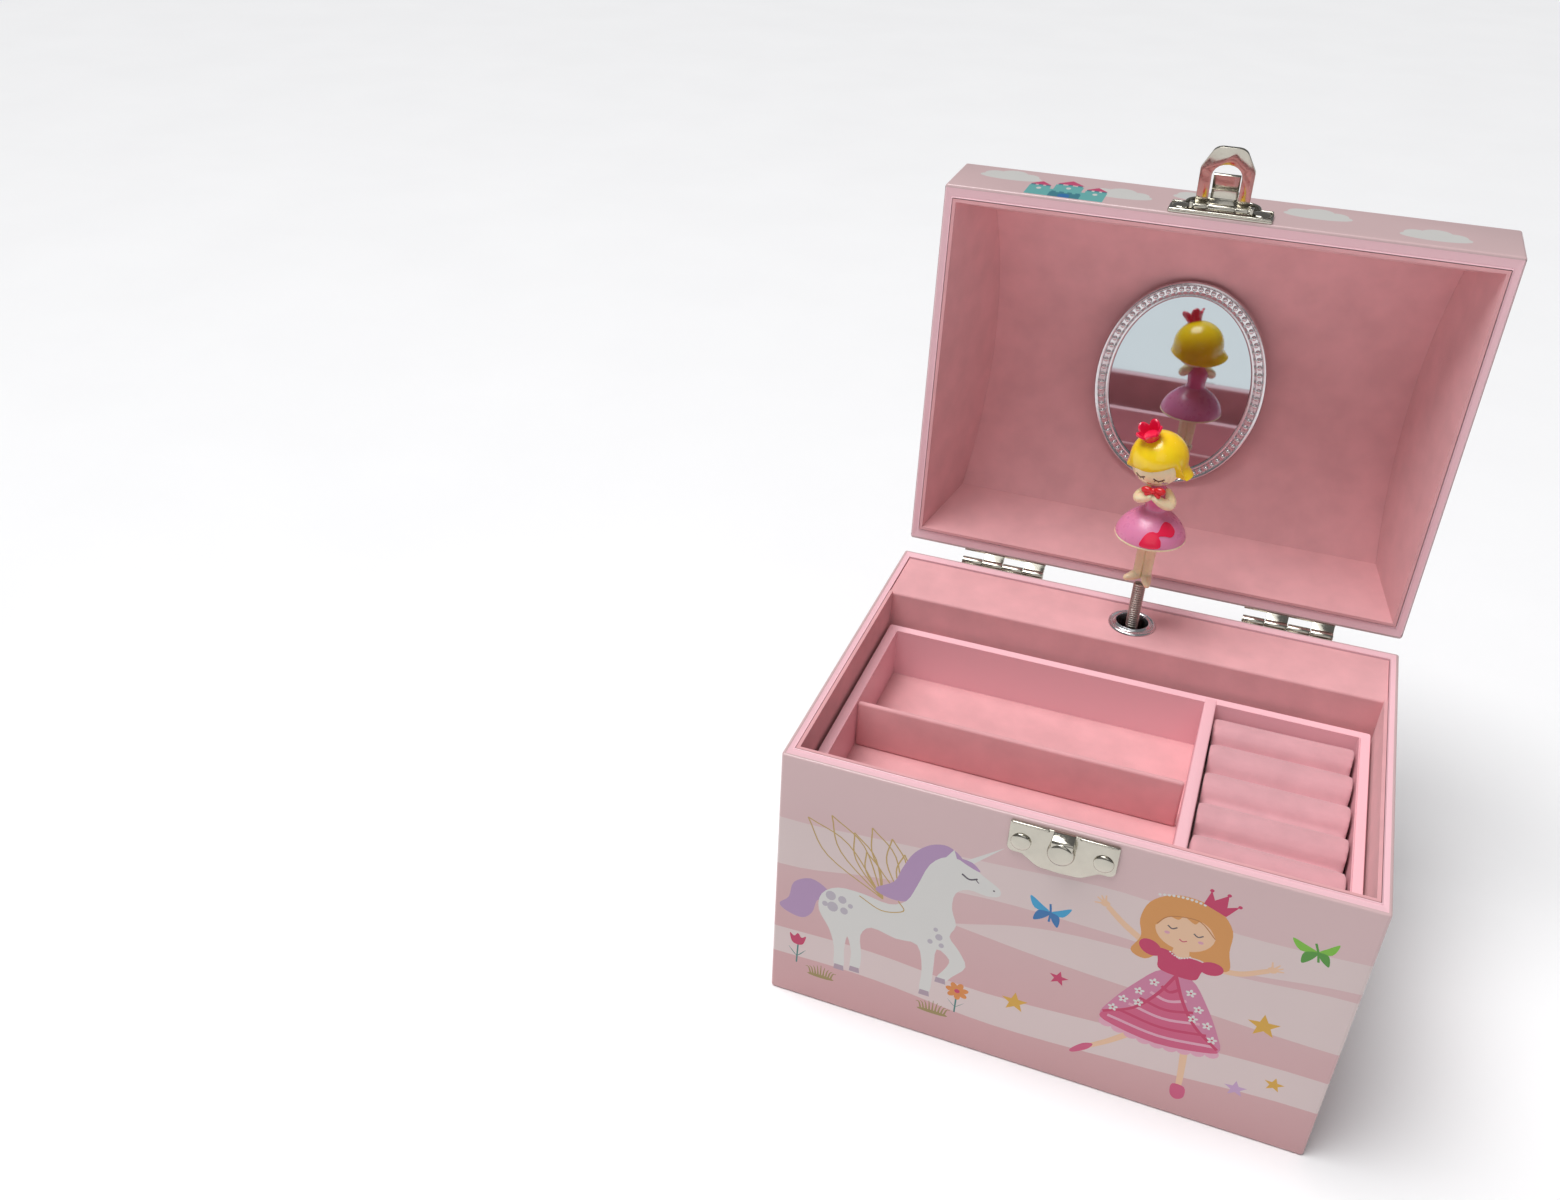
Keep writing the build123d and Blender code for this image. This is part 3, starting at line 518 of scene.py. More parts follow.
SUEDE = INKS["suede"]
ROLL_SUEDE = finish("roll_suede", (212, 156, 163), roughness=0.88, sheen=0.35, grain=0.3,
                    relief=0.06, mottle=0.06, patch=7.0)
NICKEL = finish("stamped_nickel", (190, 186, 174), roughness=0.14, metallic=1.0, grain=0.7,
                relief=0.004, mottle=0.05, patch=4.0)
CHROME = finish("chrome", (236, 236, 238), roughness=0.2, metallic=1.0, grain=1.2, relief=0.002,
                mottle=0.02, uneven=0.03)
STEEL = finish("steel", (196, 186, 178), roughness=0.34, metallic=1.0, grain=0.4, relief=0.004)
BRASS = finish("brass", (196, 160, 96), roughness=0.28, metallic=1.0, grain=0.5, relief=0.004)
FAN = finish("fan_plastic", (70, 72, 78), roughness=0.45, grain=0.5)
MIRROR = finish("mirror_silver", (192, 202, 206), roughness=0.03, metallic=1.0, grain=30, relief=0.0,
                mottle=0.01, uneven=0.01)
TRIM = finish("mirror_trim", (220, 218, 220), roughness=0.22, metallic=1.0, grain=0.8, relief=0.006,
              mottle=0.04, patch=3.0)
PEARL = finish("pearl", (234, 231, 226), roughness=0.2, metallic=0.3, coat=1.0, sheen=0.1, grain=3.0,
               relief=0.006, mottle=0.03, patch=5.0, subsurface=0.2)
CREAM = finish("figure_cream", (253, 232, 190), roughness=0.3, coat=0.2, subsurface=0.25, grain=1.5)
ORCHID = finish("figure_orchid", (221, 133, 172), roughness=0.3, coat=0.15, subsurface=0.15, grain=2.0,
                relief=0.01)
BODICE = finish("figure_rose", (226, 110, 160), roughness=0.22, coat=0.4, subsurface=0.1, grain=2.0,
                relief=0.01)
YELLOW = finish("figure_yellow", (253, 212, 20), roughness=0.22, coat=0.35, subsurface=0.15, grain=2.0,
                relief=0.01)
CRIMSON = finish("figure_crimson", (232, 26, 72), roughness=0.2, coat=0.4, grain=1.5, relief=0.01)
BOW_RED = finish("figure_red", (222, 30, 40), roughness=0.22, coat=0.4, grain=1.5, relief=0.01)
LASH = finish("figure_lash", (96, 58, 44), roughness=0.5, grain=0.5)
BASE_PAPER = finish("base_paper", (214, 170, 172), roughness=0.6, grain=0.8, relief=0.03, patch=10)


# ---- drawing on the flat sheets ------------------------------------------------
def curve(points, closed=False, steps=5):
    """A smooth line through a few points."""
    p = [np.array(q, float) for q in points]
    if closed:
        p = [p[-1]] + p + p[:2]
    else:
        p = [2 * p[0] - p[1]] + p + [2 * p[-1] - p[-2]]
    line = []
    for i in range(1, len(p) - 2):
        a, b, c, d = p[i - 1:i + 3]
        for k in range(steps):
            t = k / steps
            line.append(0.5 * (2 * b + (c - a) * t + (2 * a - 5 * b + 4 * c - d) * t * t
                               + (3 * b - a - 3 * c + d) * t ** 3))
    if not closed:
        line.append(p[-2])
    return line


def blob(points, ink_name, steps=4):
    return [(curve(points, closed=True, steps=steps), ink_name)]


def flat(points, ink_name):
    return [(points, ink_name)]


def stroke(points, width, ink_name, end_width=None, smooth=True):
    """A drawn line with a width, which may taper to another width at its end."""
    line = np.array(curve(points) if smooth and len(points) > 2 else points, float)
    ahead = np.gradient(line, axis=0)
    ahead /= np.linalg.norm(ahead, axis=1)[:, None]
    side = np.stack([-ahead[:, 1], ahead[:, 0]], axis=1)
    widths = np.linspace(width, width if end_width is None else end_width, len(line))[:, None] / 2
    return [(list(line + side * widths) + list((line - side * widths)[::-1]), ink_name)]


def oval(a, b, ra, rb, ink_name, turn=0, sides=20, start=0, sweep=360):
    """An ellipse, or a slice of one."""
    c, s = math.cos(math.radians(turn)), math.sin(math.radians(turn))
    full = sweep == 360
    count = sides if full else sides + 1
    points = []
    for i in range(count):
        angle = math.radians(start + sweep * i / sides)
        p, q = ra * math.cos(angle), rb * math.sin(angle)
        points.append((a + p * c - q * s, b + p * s + q * c))
    return [(points, ink_name)]


def ring(a, b, radius, width, ink_name):
    """A circle's outline, made of short slices so that what lies inside still shows."""
    layers = []
    slices = 24
    for i in range(slices):
        angles = [2 * math.pi * (i + k / 2) / slices for k in range(3)]
        outer = [(a + radius * math.cos(t), b + radius * math.sin(t)) for t in angles]
        inner = [(a + (radius - width) * math.cos(t), b + (radius - width) * math.sin(t)) for t in angles]
        layers.append((outer + inner[::-1], ink_name))
    return layers


def star(a, b, size, ink_name, turn=90, points=5, inner=0.42):
    outline = []
    for i in range(points * 2):
        radius = size if i % 2 == 0 else size * inner
        angle = math.radians(turn + 180 * i / points)
        outline.append((a + radius * math.cos(angle), b + radius * math.sin(angle)))
    return flat(outline, ink_name)


def burst(a, b, size):
    """A firework of thin rays, every second one shorter."""
    layers = []
    rays = 16
    for i in range(rays):
        angle = math.radians(360 * i / rays + 7)
        reach = size if i % 2 == 0 else size * 0.72
        end = (a + reach * math.cos(angle), b + reach * math.sin(angle))
        start = (a + 0.9 * math.cos(angle), b + 0.9 * math.sin(angle))
        layers += stroke([start, end], 0.28, "white", smooth=False)
        layers += oval(*end, 0.32, 0.32, "white", sides=6)
    return layers


def heart(a, b, size, ink_name):
    return blob([(a, b - size), (a + size * 0.95, b + size * 0.1), (a + size * 0.6, b + size * 0.75),
                 (a, b + size * 0.35), (a - size * 0.6, b + size * 0.75),
                 (a - size * 0.95, b + size * 0.1)], ink_name)


def cloud(a, b, width, height, ink_name="white"):
    layers = oval(a, b - height * 0.16, width * 0.5, height * 0.3, ink_name)
    for shift, lift, size in ((-0.26, 0.02, 0.30), (0.02, 0.14, 0.36), (0.27, 0.0, 0.28)):
        layers += oval(a + shift * width, b + lift * height, size * width * 0.62,
                       size * height, ink_name)
    return layers


def crown(a, b, width, ink_name, tips="round", turn=0):
    """A three-pointed crown, drawn upright and then turned."""
    outline = [(-0.4, 0), (-0.5, 0.62), (-0.22, 0.34), (0, 0.8), (0.22, 0.34), (0.5, 0.62), (0.4, 0)]
    c, s = math.cos(math.radians(turn)), math.sin(math.radians(turn))
    place = [(a + width * (p * c - q * s), b + width * (p * s + q * c)) for p, q in outline]
    layers = flat(place, ink_name)
    if tips == "round":
        for i in (1, 3, 5):
            layers += oval(*place[i], width * 0.07, width * 0.07, ink_name, sides=8)
    return layers


def butterfly(a, b, size, light, dark, turn=0):
    c, s = math.cos(math.radians(turn)), math.sin(math.radians(turn))

    def place(points):
        return [(a + size * (p * c - q * s), b + size * (p * s + q * c)) for p, q in points]

    layers = []
    for side, reach in ((-1, 1.0), (1, 0.78)):
        layers += blob(place([(0, 0), (side * 0.5 * reach, 0.34), (side * 1.05 * reach, 0.62),
                              (side * 0.72 * reach, -0.02)]), light)
        layers += blob(place([(0, 0), (side * 0.55 * reach, -0.1), (side * 0.62 * reach, -0.72),
                              (side * 0.2 * reach, -0.42)]), dark)
    layers += stroke(place([(-0.12, 0.5), (0, 0), (0.05, -0.55)]), size * 0.1, dark)
    return layers


def tulip(a, b, height):
    layers = stroke([(a, b - height), (a + 0.2, b - 2)], 0.5, "leaf", smooth=False)
    for side in (-1, 1):
        layers += blob([(a, b - height * 0.72), (a + side * 2.8, b - height * 0.38),
                        (a + side * 1.2, b - height * 0.62)], "leaf")
    layers += blob([(a - 2.6, b + 1.8), (a - 1.2, b + 0.9), (a, b + 2.4), (a + 1.2, b + 0.9),
                    (a + 2.6, b + 1.8), (a + 1.8, b - 1.6), (a, b - 2.4), (a - 1.8, b - 1.6)], "magenta")
    return layers


def daisy(a, b, size, height):
    layers = stroke([(a, b - height), (a, b)], 0.5, "leaf", smooth=False)
    for side in (-1, 1):
        layers += blob([(a, b - height * 0.75), (a + side * 2.6, b - height * 0.45),
                        (a + side * 1.0, b - height * 0.66)], "leaf")
    layers += petals(a, b, size, "orange", "magenta", count=7)
    return layers


def petals(a, b, size, ink_name, middle_ink, count=5):
    layers = []
    for i in range(count):
        angle = 360 * i / count + 18
        p = a + size * 0.62 * math.cos(math.radians(angle))
        q = b + size * 0.62 * math.sin(math.radians(angle))
        layers += oval(p, q, size * 0.46, size * 0.3, ink_name, turn=angle, sides=10)
    return layers + oval(a, b, size * 0.26, size * 0.26, middle_ink, sides=8)


def grass(a, b, width):
    layers = []
    blades = 9
    for i in range(blades):
        lean = i / (blades - 1) - 0.5
        foot = a + lean * width * 0.7
        tip = (foot + lean * 3.6, b + 4.8 - abs(lean) * 4)
        layers += stroke([(foot, b), (foot + lean * 1.6, b + 2.6), tip], 0.62, "grass", 0.15)
    return layers + oval(a, b, width * 0.48, 0.7, "grass", sides=12)


def horse():
    """A winged white horse with a horn, walking to the right."""
    layers = []
    for root, tips in (((-47, 50), ((-71, 73), (-64, 76), (-57, 72), (-53, 66))),
                       ((-41, 51.5), ((-52, 75.5), (-46, 73.5), (-42, 69)))):
        for tip in tips:
            along = np.subtract(tip, root)
            across = np.array((-along[1], along[0])) * 0.13
            for way in (-1, 1):
                layers += stroke([root, np.add(root, along * 0.6) + way * across, tip], 0.42, "gold_line")
    layers += blob([(-64, 47.5), (-69, 49.8), (-74.2, 46.5), (-75.6, 40), (-78.4, 36.4), (-76, 34),
                    (-71, 33.2), (-68, 36.5), (-66.6, 42), (-63, 44)], "mane")
    layers += blob([(-25.6, 73.0), (-30, 76.4), (-35, 75.2), (-39.4, 70.6), (-42.2, 64), (-44.2, 58),
                    (-49.5, 53.4), (-45.5, 51.2), (-40, 51.8), (-35, 57), (-33, 66), (-28, 70.5)], "mane")
    layers += blob([(-30, 72.6), (-24.4, 72.2), (-19, 69), (-14.6, 66.2), (-14.3, 63.6), (-17.6, 62.4),
                    (-23, 62.8), (-26.4, 60), (-26.8, 54), (-25, 48), (-26.4, 43), (-23.2, 38.6),
                    (-20.6, 33), (-24, 27.6), (-26.2, 24.4), (-28.6, 25.4), (-26.4, 30), (-25.6, 34),
                    (-29.6, 36.6), (-29.8, 28), (-30.2, 18), (-33.2, 17.8), (-33.2, 27), (-35.4, 36),
                    (-42, 36), (-49.5, 37.4), (-52.6, 33), (-51.8, 25), (-52.2, 18.6), (-55, 18.4),
                    (-55, 25), (-56.6, 31), (-57.2, 25), (-57, 17.6), (-60, 17.4), (-60.4, 25),
                    (-62.4, 32), (-66, 38.6), (-65.4, 45.2), (-60.6, 49.4), (-53, 49.8), (-45, 48.8),
                    (-40, 52), (-37.4, 59), (-34.6, 68)], "white", steps=3)
    layers += flat([(-30.6, 72), (-28.4, 75.8), (-27.2, 72.4)], "white")
    layers += flat([(-25.8, 72.3), (-24, 71.2), (-14.8, 81.4)], "white")
    layers += blob([(-27, 73.2), (-23, 73.0), (-20.4, 70.4), (-23.4, 71.2)], "mane")
    layers += stroke([(-25.4, 68), (-23.2, 66.7), (-20.9, 67.6)], 0.55, "ink_dark")
    layers += stroke([(-21.4, 67.2), (-20.4, 66.2)], 0.3, "ink_dark", smooth=False)
    layers += oval(-16.0, 65.0, 0.35, 0.3, "ink_dark", sides=6)
    for a, b, size in ((-62.6, 45.4, 1.6), (-59, 45, 1.3), (-61.8, 41.2, 1.7), (-58.2, 40.8, 1.2),
                       (-64.2, 41.6, 0.9), (-56.4, 43.4, 0.8), (-29.4, 41.6, 1.1), (-31.8, 39, 0.8),
                       (-28.4, 38.6, 0.8), (-30.6, 44.2, 0.7)):
        layers += oval(a, b, size, size * 1.15, "spot", sides=12)
    for a, b in ((-31.7, 17.4), (-53.6, 18.0), (-58.5, 17.0), (-27.4, 24.4)):
        layers += flat([(a - 1.6, b - 0.9), (a + 1.7, b - 0.9), (a + 1.4, b + 1.2), (a - 1.4, b + 1.2)],
                       "hoof")
    layers += stroke([(-54, 48.6), (-47, 45.4), (-40.6, 47.6), (-42.4, 51)], 0.38, "gold_line")
    return layers


def closed_eyes(a, b, gap, size, tilt=0.0):
    """Two resting eyes, a small smile and cheeks, on a plain round face."""
    layers = []
    for side in (-1, 1):
        x, z = a + side * gap, b - side * tilt
        layers += stroke([(x - size, z + 0.3 * size), (x, z - 0.35 * size), (x + size, z + 0.3 * size)],
                         size * 0.32, "ink_dark")
        layers += oval(x + side * size * 0.8, z - 1.7 * size, size * 0.6, size * 0.42, "blush", sides=10)
    smile = [(a - size * 0.8, b - 2.5 * size), (a, b - 2.95 * size), (a + size * 0.8, b - 2.5 * size)]
    layers += stroke(smile, size * 0.26, "magenta")
    return layers


def dancing_girl():
    """A girl in a party dress with her arms out, in flat shapes."""
    layers = []
    for line in (((25.4, 62.2), (19.4, 66.4), (14.4, 71.0)), ((44.4, 59.8), (50.6, 60.6), (57, 64.4)),
                 ((28.6, 28), (22.4, 21.4), (17, 16.6)), ((42.4, 28), (43.2, 18), (43.6, 11))):
        layers += stroke(line, 2.1, "skin", 1.6)
    for hand, spread in (((13.6, 71.8), 128), ((57.8, 65.0), 40)):
        layers += oval(*hand, 1.3, 1.1, "skin", sides=10)
        for finger in (-34, -8, 18, 60):
            angle = math.radians(spread + finger)
            tip = (hand[0] + 2.9 * math.cos(angle), hand[1] + 2.9 * math.sin(angle))
            layers += stroke([hand, tip], 0.75, "skin", 0.4, smooth=False)
    layers += blob([(18.4, 18.2), (15.6, 17.2), (12.6, 13.4), (13.4, 12.4), (17.2, 15.4)], "rose")
    layers += blob([(41.8, 12.4), (45.2, 12.2), (45.6, 8.2), (43.6, 6.6), (41.8, 8.4)], "rose")
    layers += blob([(34.5, 81.8), (41.6, 80), (46, 74.4), (46.6, 67), (47.8, 60.6), (44, 59.4), (40, 61.4),
                    (31, 60.4), (26.6, 56.4), (22.4, 58.2), (24.2, 64), (23.0, 70), (24.4, 76.6), (29, 80.8)],
                   "ginger")
    layers += flat([(33.2, 65), (36.8, 64.8), (37.6, 60), (32.6, 60.2)], "skin")
    layers += blob([(31.6, 54.2), (39.4, 53.6), (44.8, 46), (49.4, 36.6), (51, 29.6), (42, 27.6), (34, 27),
                    (26, 28), (18.6, 30.6), (20.6, 37.4), (25.6, 46.4)], "orchid")
    for i in range(9):
        layers += oval(20.6 + i * 3.6, 28.6 - 2.6 * math.sin(math.pi * i / 8), 2.1, 1.9, "petal", sides=12)
    layers += blob([(35.4, 53.2), (38.8, 44.6), (43.6, 36.6), (50, 31), (49.4, 28.6), (34.6, 26), (20, 29),
                    (19.4, 32.6), (26.6, 37), (31.8, 44.6)], "rose")
    for i in range(6):
        t = i / 5
        half = 2.4 + 12.0 * t
        mid = 34.9
        top = 48.4 - 17.6 * t
        layers += stroke([(mid - half, top - 0.2 + 0.8 * t), (mid, top - 1.6), (mid + half, top + 0.4)], 0.95,
                         "petal" if i % 2 else "magenta")
    layers += stroke([(35.4, 53.4), (31.8, 44.6), (26.6, 37), (19, 32.4)], 0.95, "magenta")
    layers += stroke([(35.4, 53.4), (38.8, 44.6), (43.6, 36.6), (50.6, 30.4)], 0.95, "magenta")
    layers += blob([(29.4, 61.6), (33, 61.4), (35, 59.6), (37.2, 61), (41.4, 60.4), (41.2, 56.6),
                    (39.6, 53.4), (31.2, 54), (29.8, 57.6)], "magenta")
    layers += oval(27.2, 61.0, 3.3, 2.5, "magenta", turn=-35)
    layers += oval(43.4, 59.4, 3.2, 2.4, "magenta", turn=10)
    for a, b in ((27.2, 44), (23.6, 39.4), (30.4, 48.8), (21.4, 35), (27.6, 39.6), (40.2, 48.6), (43.2, 43.4),
                 (46.4, 38.4), (48.6, 33.6), (42.4, 39.4)):
        layers += petals(a, b, 1.35, "white", "magenta")
    for i in range(9):
        t = i / 8 - 0.5
        layers += oval(35 + 5.2 * t, 61.4 - 2.4 * (0.25 - t * t) * 2, 0.3, 0.3, "white", sides=6)
    layers += oval(34.8, 69.8, 7.7, 6.9, "skin", sides=28)
    layers += blob([(27.2, 69.4), (26.8, 74.6), (31, 77.8), (37.6, 78.2), (42.6, 75), (43, 69.6), (40.6, 73),
                    (37.8, 74.6), (36.6, 73.2), (33.6, 74.8), (32.4, 73.2), (29.6, 73.4)], "ginger")
    layers += stroke([(27.4, 70), (29.6, 73.2), (33.6, 74.6), (38, 74.4), (42.4, 70)], 0.3, "ginger_dark")
    layers += closed_eyes(34.8, 69.8, 3.4, 1.25, tilt=0.25)
    for i in range(11):
        t = i / 10
        height = 79.2 + 2.0 * math.sin(math.pi * (0.15 + 0.6 * t))
        layers += oval(26.4 + 11.4 * t, height, 0.45, 0.45, "white", sides=6)
    layers += crown(40.4, 79.8, 8.2, "magenta", turn=-22)
    return layers


def castle(a, b):
    """A little castle, drawn from the middle of its foot."""
    layers = flat(rectangle(a - 7.6, a + 7.8, b, b + 7.4), "turquoise")
    for x, width, top in ((a - 8.4, 3.2, 9.6), (a + 8.4, 3.2, 9.6), (a, 4.2, 12.6)):
        layers += flat(rectangle(x - width, x + width, b + (4 if x == a else 0), b + top), "turquoise")
        for i in (-1, 0, 1):
            layers += flat(rectangle(x + i * width * 0.7 - 0.7, x + i * width * 0.7 + 0.7, b + top,
                                     b + top + 1.1), "turquoise_dark")
        roof = 5.4 if x == a else 4.6
        layers += flat([(x - width, b + top + 1.1), (x + width, b + top + 1.1), (x, b + top + roof)], "rose")
        for i in range(3):
            span = width * (1 - (i + 0.6) / 3.6)
            height = b + top + 1.1 + (roof - 1.1) * (i + 0.6) / 3.6
            layers += stroke([(x - span, height), (x + span, height)], 0.32, "magenta", smooth=False)
        layers += oval(x, b + top - 2.8, 0.75, 1.1, "white", sides=10)
    layers += flat(rectangle(a - 4.6, a + 4.6, b, b + 4.6), "turquoise_dark")
    layers += flat(rectangle(a - 1.7, a + 1.7, b, b + 2.4), "blue_dark")
    layers += oval(a, b + 2.4, 1.7, 1.5, "blue_dark", sides=14)
    for i in range(4):
        x = a - 3.6 + 2.4 * i
        layers += flat(rectangle(x - 0.7, x + 0.7, b + 4.6, b + 5.8), "turquoise_dark")
    return layers


def carriage():
    """A round coach with a frilled canopy, scrolls and two wheels, and a girl at its window."""
    layers = stroke([(-27, -26), (-17, -31), (-6, -36.6), (2, -38.2), (11, -36.8), (22, -31), (32, -25.4)],
                    2.0, "magenta")
    layers += oval(2, -8.4, 33.2, 29.2, "aqua", sides=48)
    for side in (-1, 1):
        for reach in (0.62, 0.86):
            line = [(2 + side * 33.2 * reach * math.cos(t), -8.4 + 29.2 * math.sin(t))
                    for t in np.linspace(-1.35, 1.2, 9)]
            layers += stroke(line, 0.55, "aqua_dark")
    window = (3.0, -14.6)
    layers += oval(*window, 18.2, 19.2, "aqua_dark", sides=40)
    layers += oval(*window, 17.2, 18.2, "blond_light", sides=40)
    layers += oval(*window, 17.2, 18.2, "rose", sides=24, start=172, sweep=196)
    layers += stroke([(-13.6, -12.6), (3, -13.6), (19.6, -11.2)], 1.1, "magenta")
    layers += stroke([(3, -14), (3.4, -32.4)], 0.4, "magenta", smooth=False)
    for side in (-1, 1):
        layers += oval(3.2 + side * 2.6, -18.6, 1.3, 1.3, "blond", sides=12)
        layers += oval(3.2 + side * 2.6, -18.6, 0.7, 0.7, "petal", sides=10)
    layers += stroke([(14.4, -10), (15.6, -3), (14.2, 4)], 2.0, "skin", 1.6)
    layers += oval(14.0, 5.0, 1.6, 1.8, "skin", sides=12)
    layers += blob([(-7.4, -12), (-6.4, -3.4), (-2.2, 2.6), (3, 4.0), (8.4, 2.4), (11.4, -3.6), (12.4, -11.6),
                    (2.6, -12.6)], "blond")
    layers += oval(2.6, -3.8, 6.2, 5.4, "skin", sides=24)
    layers += blob([(-3.8, -4), (-2.4, 0.8), (2.8, 3.2), (7.8, 0.8), (9.2, -4), (6.4, -0.8), (2.8, 0.4),
                    (-1.4, -1.0)], "blond")
    layers += closed_eyes(2.6, -4.0, 2.7, 0.95)
    layers += crown(2.4, 3.0, 5.6, "yellow")
    for side in (-1, 1):
        layers += blob([(3, -12.6), (3 + side * 3.6, -10.8), (3 + side * 3.8, -13.6)], "petal")
    canopy = [(-26, 6.6), (-17, 13.6), (-7, 18.4), (2, 20.2), (11, 18.8), (21, 14), (30, 6.6)]
    frill = [(30 - 5.6 * i, 6.0 + 1.0 * (i % 2)) for i in range(11)]
    layers += flat(curve(canopy) + frill, "rose")
    for x in (-16, -7, 11, 20):
        layers += stroke([(2, 20), ((2 + x) / 2, 15.6), (x, 7.2)], 0.55, "magenta")
    arc = [(-31.6, -3.0), (-27.6, 5.6), (-18, 14.4), (-7.6, 19.4), (2, 21.2), (12, 19.8), (22, 15), (31, 5.8),
           (35, -3.2)]
    line = curve(arc, steps=8)
    for i in range(len(line) - 1):
        layers += stroke([line[i], line[i + 1]], 1.7, "magenta" if i // 2 % 2 else "white", smooth=False)
    layers += stroke([(-31.6, -3), (-32.6, -5.4), (-35.2, -5.6), (-36, -3.6)], 1.5, "magenta", 0.9)
    layers += stroke([(35, -3.2), (36, -5.6), (38.8, -5.8), (39.6, -3.8)], 1.5, "magenta", 0.9)
    layers += heart(1.9, 24.2, 2.3, "magenta")
    for side, a, b in ((-1, -33.2, -23.6), (1, 38.0, -24.2)):
        spiral = [(a + side * (1 - k / 14) * 5.0 * math.cos(k * 0.55 - 1.6),
                   b + (1 - k / 14) * 4.4 * math.sin(k * 0.55 - 1.6)) for k in range(13)]
        layers += stroke([(a - side * 8.6, b - 4.2), (a - side * 4.4, b - 5.4)] + spiral, 1.6, "magenta", 0.9)
        layers += heart(a + side * 1.2, b + 6.6, 1.9, "magenta")
    for a in (-21.2, 24.8):
        b = -38.2
        for i in range(8):
            angle = math.radians(45 * i + 20)
            layers += stroke([(a, b), (a + 12.8 * math.cos(angle), b + 12.8 * math.sin(angle))], 0.3, "rose",
                             smooth=False)
        layers += ring(a, b, 13.6, 1.5, "aqua_line") + ring(a, b, 7.0, 1.2, "aqua_line")
        layers += heart(a, b, 1.5, "magenta")
    for a, b, size in ((-22, 1, 2.2), (-26, -12, 1.8), (-17, -22, 1.8), (27, -6, 2.2), (24, -20, 1.8),
                       (30, 2, 1.6), (-12, -30, 1.5), (18, -30, 1.5)):
        layers += star(a, b, size, "white", points=4, inner=0.22)
    return layers


# ---- body ----------------------------------------------------------------------
def fold_lines(path, low_side, high_side, upright):
    """A fold across the sheet at each point of a path."""
    inner = path.length[1:-1]
    if upright:
        return [((s, low_side), (s, high_side)) for s in inner]
    return [((low_side, s), (high_side, s)) for s in inner]


def band(top, bottom):
    """A wavy stripe between two lines."""
    return [(curve(top) + curve(bottom)[::-1], "band")]


def body_prints(side_u, end_u):
    """The stripes run round the whole box; the pictures are on the front, the rest is scattered."""
    layers = band([(-end_u, 68), (-240, 76), (-185, 66), (-130, 74), (-80, 70.3), (-51, 72), (-15, 75),
                   (17.5, 77.3), (48, 74), (80, 75.7), (130, 80), (185, 70), (240, 77), (end_u, 70)],
                  [(-end_u, 52), (-240, 58), (-185, 49), (-130, 56), (-80, 52.3), (-50, 57.4), (-17, 61.6),
                   (18, 61.6), (48, 60.8), (80, 65.3), (130, 66), (185, 56), (240, 60), (end_u, 54)])
    layers += band([(-26, 48.6), (1.4, 56.7), (48.6, 59.2), (80, 62), (130, 60), (190, 52), (250, 47)],
                   [(-26, 48.2), (3, 45.2), (40, 43.4), (80, 42), (130, 44), (190, 40), (250, 46.6)])
    layers += band([(-end_u, 27), (-220, 32), (-150, 24), (-80, 26.7), (-48, 27.5), (-14, 25.1), (31, 28.2),
                    (80, 30.5), (150, 25), (220, 33), (end_u, 28)],
                   [(-end_u, 16), (-220, 20), (-150, 13), (-80, 16.1), (-47, 16.4), (-11, 13), (33, 15.1),
                    (80, 18.1), (150, 13), (220, 20), (end_u, 16)])
    layers += horse()
    layers += tulip(-72, 23.7, 10) + grass(-64, 10.6, 9) + grass(-28.5, 10.6, 10) + daisy(-22, 22.4, 3.3, 9)
    layers += butterfly(0, 63, 6.2, "blue", "blue_dark", turn=-6)
    layers += butterfly(66.8, 75.2, 6.0, "green", "green_dark", turn=8)
    layers += dancing_girl()
    for a, b, size, name, turn in ((5.5, 39.6, 2.9, "magenta", 84), (-5.2, 25.1, 4.0, "gold", 92),
                                   (60, 44.5, 4.4, "gold", 97), (58, 18, 3.2, "lilac", 95),
                                   (67, 24, 2.8, "gold", 88)):
        layers += star(a, b, size, name, turn=turn)
    for side in (-1, 1):
        middle_u = side * side_u
        layers += cloud(middle_u - 26, 84, 20, 9) + cloud(middle_u + 30, 82, 17, 8)
        layers += tulip(middle_u - 40, 20, 10) + daisy(middle_u + 38, 21, 3.4, 9) + grass(middle_u + 8, 9, 10)
        layers += butterfly(middle_u + 8, 50, 7, "blue" if side < 0 else "green",
                            "blue_dark" if side < 0 else "green_dark", turn=10)
        for a, b, size, name in ((-34, 56, 3.6, "gold"), (34, 62, 3.2, "magenta"), (-10, 34, 3.4, "lilac"),
                                 (20, 30, 3.8, "gold")):
            layers += star(middle_u + a, b, size, name)
        for a, b, size, name in ((-62, 60, 4, "gold"), (-30, 38, 3.4, "magenta"), (-50, 24, 3, "lilac")):
            layers += star(side * end_u + side * a, b, size, name)
        layers += cloud(side * (end_u - 56), 84, 22, 9) + tulip(side * (end_u - 66), 20, 10)
    return layers


